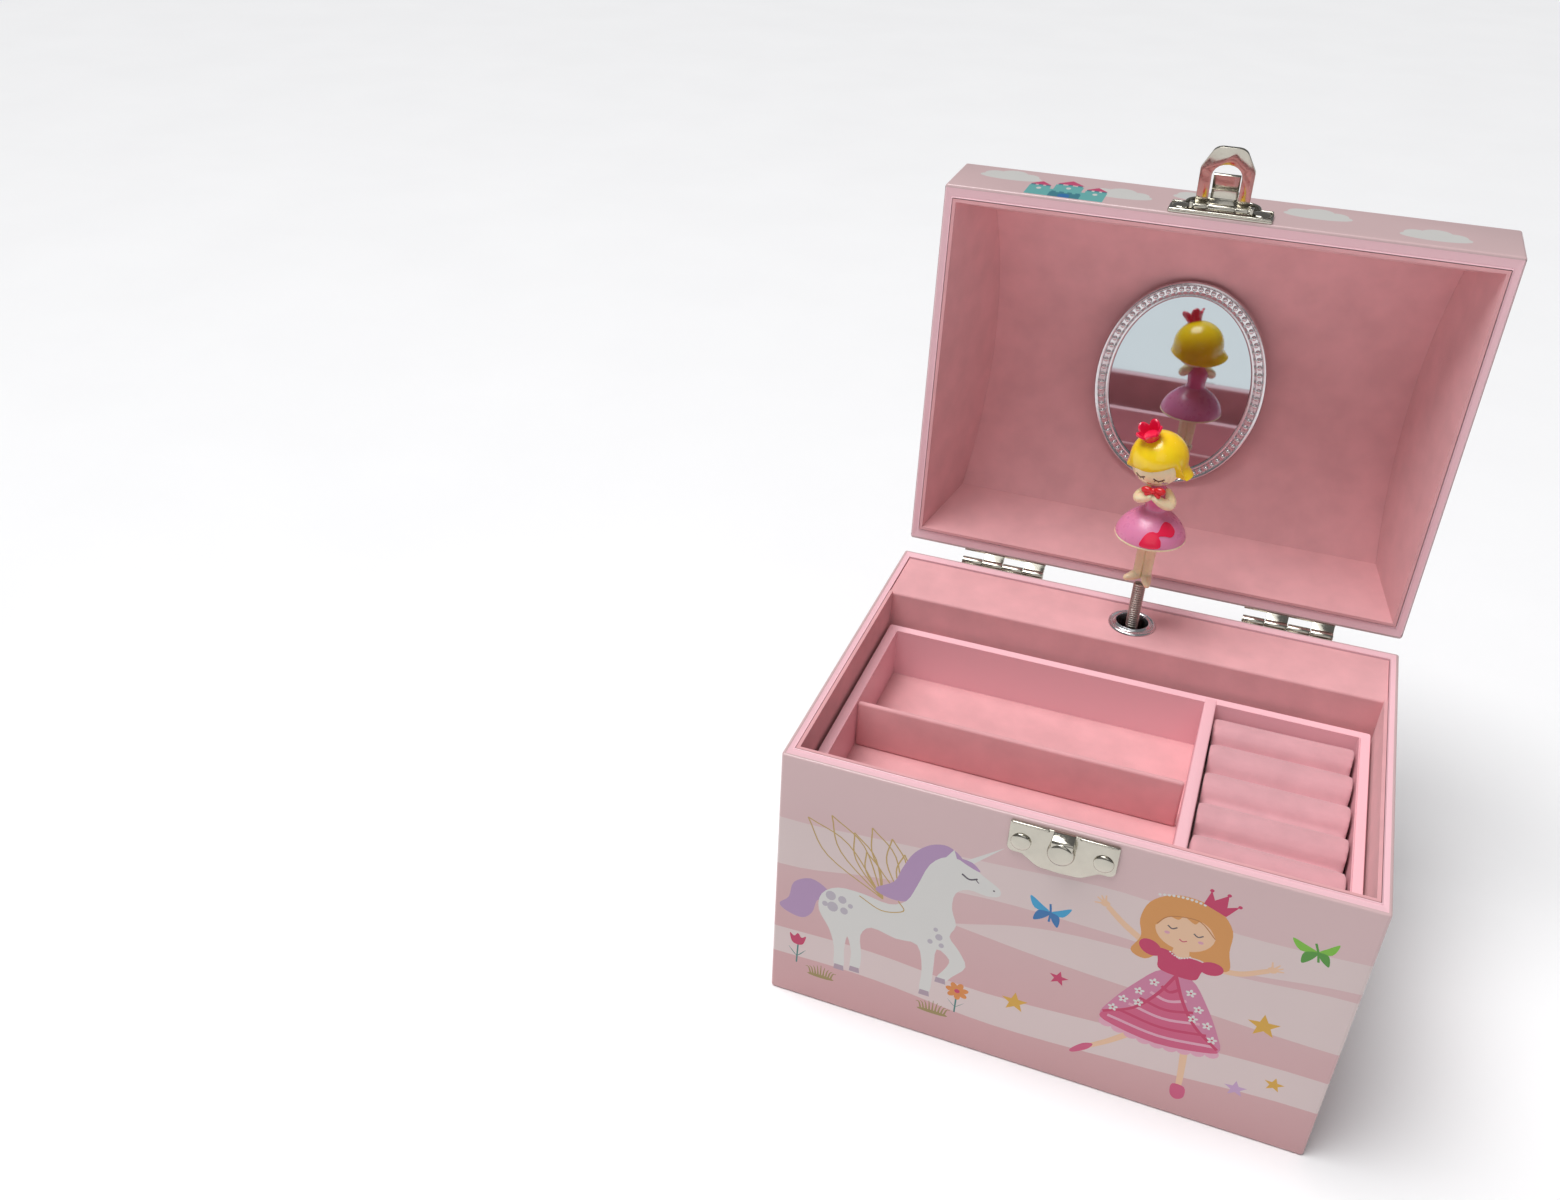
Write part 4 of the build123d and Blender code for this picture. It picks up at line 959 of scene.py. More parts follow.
def body_paper():
    along = Path(rounded_line([(-0.05, HALF_D, 0), (-HALF_W, HALF_D, CORNER), (-HALF_W, -HALF_D, CORNER),
                               (HALF_W, -HALF_D, CORNER), (HALF_W, HALF_D, CORNER), (0.05, HALF_D, 0)]), 1)
    lap = 0.3
    across = Path(rounded_line([(0, EDGE + lap, 0), (0, 0, EDGE), (BODY_TOP, 0, EDGE),
                                (BODY_TOP, EDGE + lap, 0)]), 1, zero=lap + (math.pi / 2 - 1) * EDGE)
    end_u = along.length[-1]
    bottom, top = across.length[0], across.length[-1]
    sheet = (rectangle(-end_u, end_u, bottom, top), "body_pink")
    lines = fold_lines(along, bottom, top, True) + fold_lines(across, -end_u, end_u, False)
    prints = body_prints(HALF_W + HALF_D, end_u)
    for seam_u in (-end_u, end_u):
        prints += oval(seam_u, middle("winding_arbor", Z), KEY_HOLE, KEY_HOLE, None, sides=32)
    printed_sheet("body_paper", sheet, prints, lines, along, across, Z, "box",
                  "papered_board", replaces=("body_front_wall", "body_back_wall", "body_side_walls"))


def board_ring(half_x, half_y, wall_x, wall_y, rim, far, inner_edge=0.35):
    """A papered frame of boards. Its rim is rounded on both sides, and it runs away from it to far."""
    way = 1 if far > rim else -1
    hidden = PAPER + 0.05
    corner = CORNER - PAPER
    levels = [(hidden, hidden, corner, far), (hidden, hidden, corner, rim + way * EDGE),
              (EDGE * 0.9, EDGE * 0.9, corner, rim + way * 0.02)]
    for angle in np.linspace(0, math.pi / 2, 4):
        inset = inner_edge * math.cos(angle)
        levels.append((wall_x - inset, wall_y - inset, 0.3,
                       rim + way * (0.02 + inner_edge * (1 - math.sin(angle)))))
    levels.append((wall_x, wall_y, 0.3, far))
    rings = [round_rectangle(0, 0, half_x - dx, half_y - dy, radius, z) for dx, dy, radius, z in levels]
    return loop_band(rings)


def body_shell():
    shape = board_ring(HALF_W, HALF_D, HALF_W - INNER_W, HALF_D - INNER_D, BODY_TOP, 0.4)
    boards = add_piece("body_rim", shape, "box", "papered_board", [INKS["rim_pink"]])
    drill = lathe([(0.05, -5), (KEY_HOLE, -5), (KEY_HOLE, 5), (0.05, 5)], sides=32)
    bored(boards, moved(drill, (0, HALF_D, middle("winding_arbor", Z)), turn=turn_about(X, 90)))


def platform_cover():
    """Suede card folded over the rear compartment's top and down its front, with the eyelet's hole."""
    top = high("platform_top", Z)
    front, back = low("platform_top", Y), high("platform_top", Y)
    half = high("platform_top", X)
    bottom = low("platform_front", Z)
    along = Path(rounded_line([(back, top, 0), (front, top, 0.8), (front, bottom, 0)], 6), 1, zero=0)
    across = Path([(-half, 0), (half, 0)], 1)
    length = along.length[-1]
    sheet = (rectangle(-half, half, 0, length), "suede")
    hole = oval(0, back - FIGURE_Y, 5.6, 5.6, None, sides=36)
    printed_sheet("platform_card", sheet, hole, fold_lines(along, -half, half, False), along, across, X,
                  "box", "lining_card", thickness=1.2, swap=True,
                  replaces=("platform_top", "platform_front"))


# ---- tray ------------------------------------------------------------------------
TRAY_TOP = high("tray_long_walls", Z)
TRAY_FLOOR = high("tray_floor", Z)
TRAY_HALF = high("tray_floor", X)
TRAY_FRONT = low("tray_floor", Y)
TRAY_BACK = high("tray_floor", Y)
TRAY_WALL = TRAY_HALF - high("tray_long_walls", X)


def tray_boards():
    middle_y = (TRAY_FRONT + TRAY_BACK) / 2
    ring_shape = board_ring(TRAY_HALF, (TRAY_BACK - TRAY_FRONT) / 2, TRAY_WALL, TRAY_WALL, TRAY_TOP,
                            TRAY_FLOOR + 0.01, inner_edge=0.5)
    add_piece("tray_frame", moved(ring_shape, (0, middle_y, 0)), "tray", "tray_board", [INKS["tray_rim"]],
              replaces=("tray_end_walls", "tray_long_walls"))
    x0, x1 = low("tray_mid_wall", X), high("tray_mid_wall", X)
    bar = rounded_bar(x0, x1, TRAY_FRONT + 1.0, TRAY_BACK - 1.0, TRAY_FLOOR, TRAY_TOP, 0.5)
    add_piece("tray_middle", bar, "tray", "tray_board", [INKS["tray_rim"]], replaces=("tray_mid_wall",))
    lo, hi = [Vector(v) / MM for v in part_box("tray_divider")]
    card = rounded_bar(lo.x + 0.2, hi.x - 0.5, lo.y, hi.y, lo.z, hi.z, 0.8)
    add_piece("tray_partition", card, "tray", "tray_board", [SUEDE], replaces=("tray_divider",))


ROLLS = 5


def roll_shape(x0, x1, y, half, z0, z1):
    """A D-shaped foam roll, upright sides below a round top, as rings along X."""
    outline = [(half, 0.0), (half, 0.5)]
    for angle in np.linspace(0.2, math.pi - 0.2, 13):
        c, s = math.cos(angle), math.sin(angle)
        outline.append((half * math.copysign(abs(c) ** 0.8, c), 0.5 + 0.5 * s ** 0.8))
    outline += [(-half, 0.5), (-half, 0.0)]
    rings = []
    for x in np.linspace(x0, x1, 16):
        rings.append([(x, y + p, z0 + q * (z1 - z0)) for p, q in outline])
    return rings_joined(rings)


def ring_rolls():
    """Five padded rolls. Cloth under a little pressure rounds them; the cap keeps them in their bed."""
    lo, hi = [Vector(v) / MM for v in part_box("ring_rolls")]
    pitch = (hi.y - lo.y + 0.6) / ROLLS
    swell, scale = 0.45, 10.0
    shapes = [roll_shape(lo.x + 0.1, hi.x - 0.1, lo.y - 0.3 + (i + 0.5) * pitch, pitch / 2 - 0.3 - swell,
                         lo.z + 0.1, hi.z - swell) for i in range(ROLLS)]
    rolls = add_piece("ring_rolls_padded", joined(shapes), None, "ring_foam", [ROLL_SUEDE])
    rolls.data.transform(scaling(scale))
    remesh = rolls.modifiers.new("even", "REMESH")
    remesh.mode = "VOXEL"
    remesh.voxel_size = 1.25 * MM * scale
    remesh.use_smooth_shade = True
    applied(rolls)
    inflate(rolls, cap=swell * MM * scale)
    rolls.data.transform(scaling(1 / scale))
    subdivided(rolls)
    smooth_shaded(rolls.data, 60)
    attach(rolls, "tray")
    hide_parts("ring_rolls")


def scaling(factor):
    return Matrix.Diagonal((factor, factor, factor, 1))


def inflate(piece, cap):
    """Runs a pressure cloth for 20 frames and keeps each point within cap of its start."""
    start = np.array([v.co for v in piece.data.vertices], float)
    cloth = piece.modifiers.new("cloth", "CLOTH")
    settings = cloth.settings
    settings.quality = 5
    settings.mass = 0.3
    settings.tension_stiffness = 15
    settings.compression_stiffness = 15
    settings.shear_stiffness = 8
    settings.bending_stiffness = 1.0
    settings.use_pressure = True
    settings.uniform_pressure_force = 3.0
    settings.effector_weights.gravity = 0
    cloth.collision_settings.use_collision = False
    scene = bpy.context.scene
    for number in range(1, 21):
        scene.frame_set(number)
    applied(piece)
    scene.frame_set(1)
    end = np.array([v.co for v in piece.data.vertices], float)
    shift = end - start
    length = np.linalg.norm(shift, axis=1)[:, None]
    shift *= np.minimum(1, cap / np.maximum(length, 1e-9))
    piece.data.vertices.foreach_set("co", (start + shift).ravel())
    piece.data.update()


# ---- lid -------------------------------------------------------------------------
def dome_points(steps=56):
    """The dome's arc as (y, z) points from the front edge to the back one."""
    rise = DOME_TOP - LID_EDGE
    radius = (HALF_D ** 2 + rise ** 2) / (2 * rise)
    half = math.asin(HALF_D / radius)
    return [(radius * math.sin(t), DOME_TOP - radius + radius * math.cos(t))
            for t in np.linspace(-half, half, steps + 1)]


def lid_prints(front_v):
    """front_v is where the seam at the front lies on the sheet."""
    def up(z):
        return front_v + z - SEAM

    layers = []
    for a, z in ((-63.4, 110.9), (-29.5, 105.8), (-5.5, 112.7), (26, 109.5), (57.3, 103.1)):
        layers += cloud(a, up(z), 19, 11)
    layers += castle(-44.8, up(94.6))
    layers += crown(-67.8, -15.2, 11, "yellow", tips="plain") + crown(70.6, 1.6, 7, "yellow", tips="plain")
    for a, b, size in ((-56.5, -26.3, 6.2), (-67, -44.7, 7.4), (-40, -50.5, 7.4), (9.6, -52.8, 7.0),
                       (54, -37.4, 7.0), (-66, 25, 6.5), (62, 34.6, 6.5), (-30, 42, 6), (20, 46, 6)):
        layers += burst(a, b, size)
    layers += star(57.7, 0.3, 3.8, "lilac") + star(54, -10, 3.4, "gold") + star(63.5, -9, 3.2, "red")
    layers += cloud(62.5, -52.4, 25, 12, "sky") + cloud(-56.6, 8.9, 19, 8) + cloud(34, 30, 18, 8)
    layers += cloud(-56, 50, 24, 11, "lilac") + cloud(4, 38, 17, 8)
    layers += carriage()
    return layers


def lid_paper():
    dome = [(y, z, 0) for y, z in dome_points()]
    dome[0] = (*dome[0][:2], 1.0)
    dome[-1] = (*dome[-1][:2], 1.0)
    lap = 0.3
    corners = [(-HALF_D + EDGE + lap, SEAM, 0), (-HALF_D, SEAM, EDGE), *dome, (HALF_D, SEAM, EDGE),
               (HALF_D - EDGE - lap, SEAM, 0)]
    along = Path(rounded_line(corners), -1)
    across = Path(rounded_line([(-HALF_W, CORNER + 0.4, 0), (-HALF_W, 0, CORNER), (HALF_W, 0, CORNER),
                                (HALF_W, CORNER + 0.4, 0)]), 1)
    end_v, end_a = along.length[-1], across.length[-1]
    front_v = -end_v + lap + (math.pi / 2 - 1) * EDGE
    sheet = (rectangle(-end_a, end_a, -end_v, end_v), "lid_pink")
    lines = fold_lines(along, -end_a, end_a, False) + fold_lines(across, -end_v, end_v, True)
    printed_sheet("lid_paper", sheet, lid_prints(front_v), lines, along, across, X, "lid", "papered_board",
                  swap=True, lid=True,
                  replaces=("lid_front_wall", "lid_back_wall", "lid_end_walls", "lid_dome"))


def lid_end_papers():
    """The D-shaped papers on the lid's two ends, a hair proud of the wrapped edge."""
    inset = 1.0
    shrink = 1 - inset / HALF_D
    outline = [(-HALF_D + inset, SEAM + inset), (HALF_D - inset, SEAM + inset)]
    outline += [(y * shrink, z - inset) for y, z in reversed(dome_points())]
    for side, name in ((-1, "left"), (1, "right")):
        prints = cloud(-28, 106, 22, 10) + cloud(26, 112, 18, 8) + star(0, 104, 4, "gold")
        prints += star(44, 102, 3, "magenta") + star(-8, 122, 3.2, "lilac")
        points, triangles, chosen, palette = inked((outline, "lid_pink"), prints)
        outer = np.stack([np.full(len(points), side * (HALF_W + 0.06)), points[:, 0], points[:, 1]], axis=1)
        shape = closed_sheet(outer, outer - (side * 0.3, 0, 0), triangles)
        indices = chosen + [palette.index("lid_pink")] * (len(shape[1]) - len(chosen))
        materials = [INKS[ink_name] for ink_name in palette]
        add_piece(f"lid_end_{name}", shape, "lid", "papered_board", materials, indices, lid=True)


def lid_rim():
    shape = board_ring(HALF_W, HALF_D, HALF_W - INNER_W, HALF_D - INNER_D, SEAM, SEAM + 10)
    add_piece("lid_rim", shape, "lid", "papered_board", [INKS["rim_pink"]], lid=True)


def closed_box(node):
    """A lid node's box with the lid closed, as (lowest, highest) corners in millimetres."""
    lo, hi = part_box(node)
    lo, hi = lo / MM, hi / MM
    total = PIVOT_Y + PIVOT_Z
    return (Vector((lo.x, total - hi.z, lo.y + CLOSING)), Vector((hi.x, total - lo.z, hi.y + CLOSING)))


def mirror_frame():
    """A stamped oval frame: rolled lips on both sides of a channel full of beads."""
    lo, hi = closed_box("mirror_frame")
    glass_lo, glass_hi = closed_box("mirror_glass")
    centre = (lo + hi) / 2
    inner = (glass_hi - glass_lo) / 2
    width = (hi.x - lo.x) / 2 - inner.x
    section = [(0.0, 0.4), (0.1, 1.1), (0.5, 1.45), (1.0, 1.35), (1.35, 0.85), (1.7, 0.6), (3.4, 0.6),
               (3.7, 0.95), (4.1, 1.2), (4.5, 1.05), (4.8, 0.4), (4.8, 0.05), (0.0, 0.05)]
    sides = 128
    rings, beads = [], []
    for i in range(sides):
        t = 2 * math.pi * i / sides
        rings.append([(centre.x + (inner.x + w) * math.cos(t), centre.y + (inner.y + w) * math.sin(t),
                       hi.z - h) for w, h in section])
    count = 78
    for i in range(count):
        t = 2 * math.pi * i / count
        place = (centre.x + (inner.x + width * 0.54) * math.cos(t),
                 centre.y + (inner.y + width * 0.54) * math.sin(t), hi.z - 0.7)
        beads.append(ball(place, (0.82, 0.82, 0.62), sides=12))
    add_piece("mirror_border", loop_band(rings), "lid", "mirror_trim", [TRIM], lid=True,
              replaces=("mirror_frame",))
    add_piece("mirror_beads", joined(beads), "lid", "mirror_trim", [TRIM], lid=True)


PEARL_D = 10.9
PEARL_PITCH = 11.0
PEARL_HEADINGS = (50.0, 46.5, 25.5, 11.5, 3.5)    # rise of each step to the middle of the handle


def pearl_handle():
    """Beads with dimpled holes, each turned to the wire that it is strung on."""
    lo, hi = closed_box("handle_pearls")
    headings = list(PEARL_HEADINGS) + [-h for h in reversed(PEARL_HEADINGS)]
    radius = PEARL_D / 2
    point = np.array((lo.x + radius, (lo.y + hi.y) / 2, lo.z + radius))
    centres = [point]
    for heading in headings:
        turn = math.radians(heading)
        point = point + PEARL_PITCH * np.array((math.cos(turn), 0, math.sin(turn)))
        centres.append(point)
    profile = [(0.9, -radius + 0.9), (1.05, -radius + 0.28), (1.3, -radius + 0.16)]
    profile += [(radius * math.sin(t), -radius * math.cos(t)) for t in np.linspace(0.33, math.pi - 0.33, 30)]
    profile += [(1.3, radius - 0.16), (1.05, radius - 0.28), (0.9, radius - 0.9)]
    bead = lathe(profile, sides=48)
    leans = [90.0] + [(a + b) / 2 for a, b in zip(headings, headings[1:])] + [-90.0]
    leans.insert(1, headings[0])
    leans.insert(-1, headings[-1])
    beads = []
    for centre, lean in zip(centres, leans[:len(centres)]):
        beads.append(moved(bead, centre, turn=turn_about(Y, 90 - lean)))
    add_piece("pearl_beads", joined(beads), "lid", "pearl", [PEARL], lid=True, replaces=("handle_pearls",))


# ---- metalwork -------------------------------------------------------------------
PIN_Y = -HALF_D - 1.9
PIN_Z = SEAM + 3.0
FRONT = -HALF_D - 0.8           # face of the latch plates
FLAP_OPEN = 68.0                # degrees that the latch pieces stand out at rest
TONGUE_OPEN = 59.0
METAL = 0.8                     # thickness of the latch's sheet metal
KNUCKLE = 1.15                  # outer radius of the curls round the latch's pin, which are drawn solid


def rounded_edges(piece, width):
    """Rounds every sharp edge of a finished piece."""
    work = bmesh.new()
    work.from_mesh(piece.data)
    bmesh.ops.remove_doubles(work, verts=work.verts, dist=1e-6)
    bmesh.ops.dissolve_limit(work, angle_limit=math.radians(2), verts=work.verts, edges=work.edges)
    sharp = [e for e in work.edges if len(e.link_faces) == 2 and e.calc_face_angle() > math.radians(40)]
    bmesh.ops.bevel(work, geom=sharp, offset=width * MM, offset_type="OFFSET", segments=2, profile=0.5,
                    affect="EDGES", clamp_overlap=True)
    work.to_mesh(piece.data)
    work.free()
    smooth_shaded(piece.data, 50)


def stamping(half_outline, holes=(), face=FRONT):
    """A flat stamped plate facing -Y. Its (x, z) outline is mirrored from its right half."""
    outline = list(half_outline) + [(-x, z) for x, z in reversed(half_outline)]
    points, triangles, _, _ = inked((outline, "band"), [(hole, None) for hole in holes])
    front = np.insert(points, 1, face, axis=1)
    return closed_sheet(front, front + (0, METAL, 0), triangles)


def strap(line, half, thick):
    """A bent strip of metal along (y, z) points, as wide as 2 x half."""
    p = np.asarray(line, float)
    t = np.gradient(p, axis=0)
    t /= np.linalg.norm(t, axis=1)[:, None]
    n = np.column_stack([-t[:, 1], t[:, 0]]) * thick / 2
    rings = [[(x, *(q + side * m)) for x, side in ((-half, -1), (half, -1), (half, 1), (-half, 1))]
             for q, m in zip(p, n)]
    return rings_joined(rings)


def bar_x(x0, x1, y, z, radius):
    """A round bar along X."""
    return moved(lathe([(0.05, x0), (radius - 0.1, x0), (radius, x0 + 0.1), (radius, x1 - 0.1),
                        (radius - 0.1, x1), (0.05, x1)], sides=20), (0, y, z), turn=turn_about(Y, 90))


def swung(shape, degrees):
    """Turns a latch piece out from the front about its pin."""
    pin = np.array((0, PIN_Y, PIN_Z))
    return moved((np.asarray(shape[0]) - pin, shape[1]), pin, turn=turn_about(X, -degrees))


def domed_screws(places, radius, height, way):
    """Low round heads, facing -Y or +Y, on short shanks, at (x, y, z) places."""
    profile = [(0.05, -2.6), (0.9, -2.4), (0.9, 0.0), (radius, 0.0), (radius, 0.18)]
    profile += [(radius * math.cos(t), 0.18 + (height - 0.18) * math.sin(t))
                for t in np.linspace(0.2, 1.54, 8)]
    head = lathe(profile, sides=32)
    return [moved(head, place, turn=turn_about(X, -way * 90)) for place in places]


def screws():
    hinge_xs = [side * 46.5 + step for side in (-1, 1) for step in (-8.0, 8.0)]
    for name, z_front, z_back, body, lid in (("body_screws", BODY_TOP - 7.5, BODY_TOP - 8.5, "box", False),
                                             ("lid_screws", SEAM + 4.7, SEAM + 8.5, "lid", True)):
        heads = domed_screws([(x, FRONT, z_front) for x in (-11, 11)], 2.75, 1.0, -1)
        heads += domed_screws([(x, HALF_D + 0.8, z_back) for x in hinge_xs], 2.0, 0.9, 1)
        add_piece("domed_" + name, joined(heads), body, "bright_metal", [NICKEL], lid=lid, replaces=(name,),
                  angle=50)


def latch_plates():
    top = BODY_TOP - 1.0
    half = rounded_line([(0, top, 0), (14.5, top, 0.7), (14.5, top - 10.5, 1.8), (10.4, top - 10.5, 1.8),
                         (5.8, top - 13.7, 5), (0, top - 14, 0)])
    catch_z = BODY_TOP - 5.5
    catch = lathe([(0.05, 4.2), (2.6, 4.15), (3.3, 3.85), (3.65, 3.2), (3.7, 2.4), (3.5, 0.0), (0.05, 0.0)],
                  sides=40)
    shapes = [stamping(half), moved(catch, (0, FRONT, catch_z), turn=turn_about(X, 90)),
              strap(rounded_line([(FRONT + 0.4, top - 1, 0), (FRONT + 0.1, top + 0.3, 0.8),
                                  (FRONT - 3.2, top - 0.9, 1.0), (FRONT - 3.4, catch_z + 1.5, 0)]), 2.9, 0.8)]
    plate = add_piece("catch_plate", joined(shapes), "box", "bright_metal", [NICKEL],
                      replaces=("latch_lower_plate",))
    rounded_edges(plate, 0.18)
    lips = [tube([(side * 4.4, FRONT - 0.05, top - 0.35), (side * 9, FRONT - 0.05, top - 0.35),
                  (side * 13.7, FRONT - 0.05, top - 0.35)], 0.42) for side in (-1, 1)]
    add_piece("catch_plate_lip", joined(lips), "box", "bright_metal", [NICKEL], angle=60)

    crest = [(14.5, SEAM + 0.2, 0.6), (14.5, SEAM + 9.5, 2.2), (10.9, SEAM + 9.5, 1.0),
             (10.2, SEAM + 16, 5.0), (0, SEAM + 16, 0)]
    half = rounded_line([(0, SEAM + 0.2, 0)] + crest)
    window = rectangle(-7.6, 7.6, SEAM + 1.7, SEAM + 4.6)
    hood = curve([(FRONT + 0.3, SEAM + 8.6), (FRONT - 3.0, SEAM + 8.2), (FRONT - 4.1, SEAM + 9.6),
                  (FRONT - 3.9, SEAM + 11.4), (FRONT - 2.2, SEAM + 13.2), (FRONT + 0.3, SEAM + 13.8)])
    shapes = [stamping(half, [window]), rings_joined([[(x, y, z) for y, z in hood] for x in (-3.7, 3.7)])]
    for side in (-1, 1):
        x0, x1 = sorted((side * 7.8, side * 8.8))
        shapes.append(rounded_bar(x0, x1, PIN_Y - 1.2, FRONT + 0.1, PIN_Z - 1.2, PIN_Z + 1.2, 0.2))
    plate = add_piece("hasp_plate", joined(shapes), "lid", "bright_metal", [NICKEL], lid=True,
                      replaces=("latch_upper_plate",))
    rounded_edges(plate, 0.18)
    path = [(x, FRONT - 0.05, z) for x, z in rounded_line([(13.9, SEAM + 8.4, 0), (13.9, SEAM + 8.95, 0.3),
            (10.5, SEAM + 8.95, 1.0), (9.7, SEAM + 15.4, 4.6), (0, SEAM + 15.4, 0)])]
    path += [(-x, y, z) for x, y, z in reversed(path[:-1])]
    lips = [tube(path, 0.42), tube([(x, FRONT - 0.1, SEAM + 0.65) for x in (-13.9, -7, 0, 7, 13.9)], 0.45)]
    add_piece("hasp_plate_lip", joined(lips), "lid", "bright_metal", [NICKEL], lid=True, angle=60)


def latch_movers():
    tip, arch = SEAM - 17.6, SEAM - 12.1
    half = rounded_line([(0, arch, 0), (4.1, arch, 4.0), (4.1, PIN_Z, 0), (7.4, PIN_Z, 0),
                         (7.4, SEAM - 10.4, 2.4), (4.0, tip, 3.0), (0, tip, 0)])
    shapes = [stamping(half, face=PIN_Y - METAL / 2)]
    shapes += [bar_x(x, x + 3.3, PIN_Y, PIN_Z, KNUCKLE) for x in (-7.4, 4.1)]
    shapes = [swung(shape, FLAP_OPEN) for shape in shapes]
    flap = add_piece("hasp_flap", joined(shapes), "flap", "bright_metal", [NICKEL], lid=True,
                     replaces=("latch_flap",))
    rounded_edges(flap, 0.16)
    line = rounded_line([(PIN_Y - 0.4, PIN_Z + 0.5, 0), (-66.6, SEAM + 2.2, 1.2), (-67.5, SEAM - 0.4, 2.0),
                         (-67.5, SEAM - 6.2, 0)])
    shapes = [strap(line, 3.7, METAL), bar_x(-3.7, 3.7, PIN_Y, PIN_Z, KNUCKLE)]
    tongue = add_piece("hasp_tongue", joined([swung(shape, TONGUE_OPEN) for shape in shapes]), "tongue",
                       "bright_metal", [NICKEL], lid=True, replaces=("latch_tongue",))
    rounded_edges(tongue, 0.16)


def cad_shape(node):
    """A CAD node's own shape in millimetres, with its doubled vertices joined."""
    work = bmesh.new()
    work.from_mesh(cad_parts[node].data)
    bmesh.ops.remove_doubles(work, verts=work.verts, dist=1e-6)
    work.verts.index_update()
    shape = [tuple(v.co / MM) for v in work.verts], [tuple(v.index for v in f.verts) for f in work.faces]
    work.free()
    return shape


def hinge_leaves():
    for node, name, body in (("hinge_body_leaves", "hinge_leaves_low", "box"),
                             ("hinge_lid_leaves", "hinge_leaves_high", "lid")):
        leaves = add_piece(name, cad_shape(node), body, "bright_metal", [NICKEL], replaces=(node,))
        rounded_edges(leaves, 0.15)


def eyelet():
    """The chromed eyelet of the figure's shaft: a rolled flange with a second lip at its bore."""
    profile = [(5.0, -3.9), (5.5, -3.9), (5.5, -0.02), (7.2, -0.02), (7.5, 0.2), (7.4, 0.55), (7.0, 0.82),
               (6.5, 0.8), (6.2, 0.62), (5.95, 0.72), (5.75, 1.1), (5.45, 1.4), (5.15, 1.3), (5.0, 0.9)]
    ring_shape = lathe_ring(profile, (0, FIGURE_Y, high("platform_top", Z)), sides=64)
    add_piece("rolled_eyelet", ring_shape, "box", "bright_metal", [CHROME], replaces=("grommet",), angle=60)


# ---- figure ----------------------------------------------------------------------
FACING = -10.0         # degrees that the figure is turned from straight ahead


def on_figure(shape):
    """Figure coordinates, with Z from the rim and facing -Y, to the box's."""
    return moved(shape, (0, FIGURE_Y, BODY_TOP), turn=turn_about(Z, FACING))


def coil_spring():
    """A close-wound coil between the platform and the figure."""
    low_z, high_z = low("figure_spring", Z), high("figure_spring", Z)
    wire, pitch, per_turn = 0.36, 0.8, 14
    radius = high("figure_spring", X) - wire
    turns = int((high_z - low_z - 2 * wire) / pitch)
    points = []
    for i in range(turns * per_turn + 1):
        angle = 2 * math.pi * i / per_turn
        points.append((radius * math.cos(angle), FIGURE_Y + radius * math.sin(angle),
                       low_z + wire + pitch * i / per_turn))
    spring = add_piece("coil_spring", tube(points, wire, sides=8), None, "steel", [STEEL],
                       replaces=("figure_spring",), angle=60)
    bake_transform(spring)


def figure_legs():
    shapes = []
    for side, toe in ((-1, (-4.0, -2.2)), (1, (2.9, -3.2))):
        x = side * 1.3
        shapes.append(tube([(x, 0.2, 32.4), (x, 0.2, 27), (x * 1.02, 0.1, 21.6), (x * 1.1, -0.1, 18.2)],
                           [1.75, 1.7, 1.55, 1.45], sides=20))
        shapes.append(tube([(x * 1.05, 0.5, 17.7), ((x + toe[0]) / 2, toe[1] * 0.5, 17.3),
                            (toe[0], toe[1], 16.8)], [1.7, 1.55, 1.05], sides=20))
    add_piece("doll_legs", on_figure(joined(shapes)), "figure", "figure_cream", [CREAM],
              replaces=("figure_legs",), angle=60)


SKIRT_LINE = [(3.2, 42.3), (3.6, 41.6), (4.8, 40.7), (6.6, 39.4), (8.4, 37.6), (9.7, 35.7), (10.4, 34.1),
              (10.6, 33.1)]


def figure_skirt():
    line = [tuple(p) for p in curve(SKIRT_LINE)]
    under = [(10.5, 32.7), (10.1, 32.5), (9.5, 32.7), (7.6, 33.5), (4.4, 34.1), (0.3, 34.2)]
    profile = [(0.3, 42.3)] + line + under
    add_piece("doll_skirt", on_figure(lathe(profile, sides=64)), "figure", "figure_pink", [ORCHID],
              replaces=("figure_skirt",), angle=50)
    hem = lathe_ring([(10.62, 33.0), (10.72, 32.7), (10.56, 32.4), (10.26, 32.45), (10.3, 32.85)], sides=64)
    add_piece("doll_hem", on_figure(hem), "figure", "figure_pink", [CREAM])
    bow = blob([(0.2, 0.4), (5.2, 0.4), (5.9, 2.4), (5.3, 4.0), (7.4, 4.1), (9.8, 3.6), (11.8, 5.2),
                (11.2, 7.6), (8.8, 8.6), (6.6, 7.6), (4.8, 5.3), (3.0, 5.4), (1.2, 4.6), (0.1, 2.4)], "band")
    flat_points, triangles, _, _ = inked((rectangle(-2, 16, -1, 14), None), bow,
                                         [((-2, k), (16, k)) for k in range(14)]
                                         + [((k, -1), (k, 14)) for k in range(16)])
    path = Path([(r, z) for r, z in reversed(line)], 1, zero=0)
    at, normal = path.at(flat_points[:, 1])
    if normal[0][0] < 0:
        normal = -normal
    angles = flat_points[:, 0] / 10.0 - math.pi / 2
    around = np.stack([np.cos(angles), np.sin(angles)], axis=1)

    def lifted(height):
        radius, z = (at + normal * height).T
        return np.column_stack([around * radius[:, None], z])

    add_piece("doll_skirt_bow", on_figure(closed_sheet(lifted(0.16), lifted(-0.1), triangles)), "figure",
              "figure_red", [CRIMSON], angle=50)


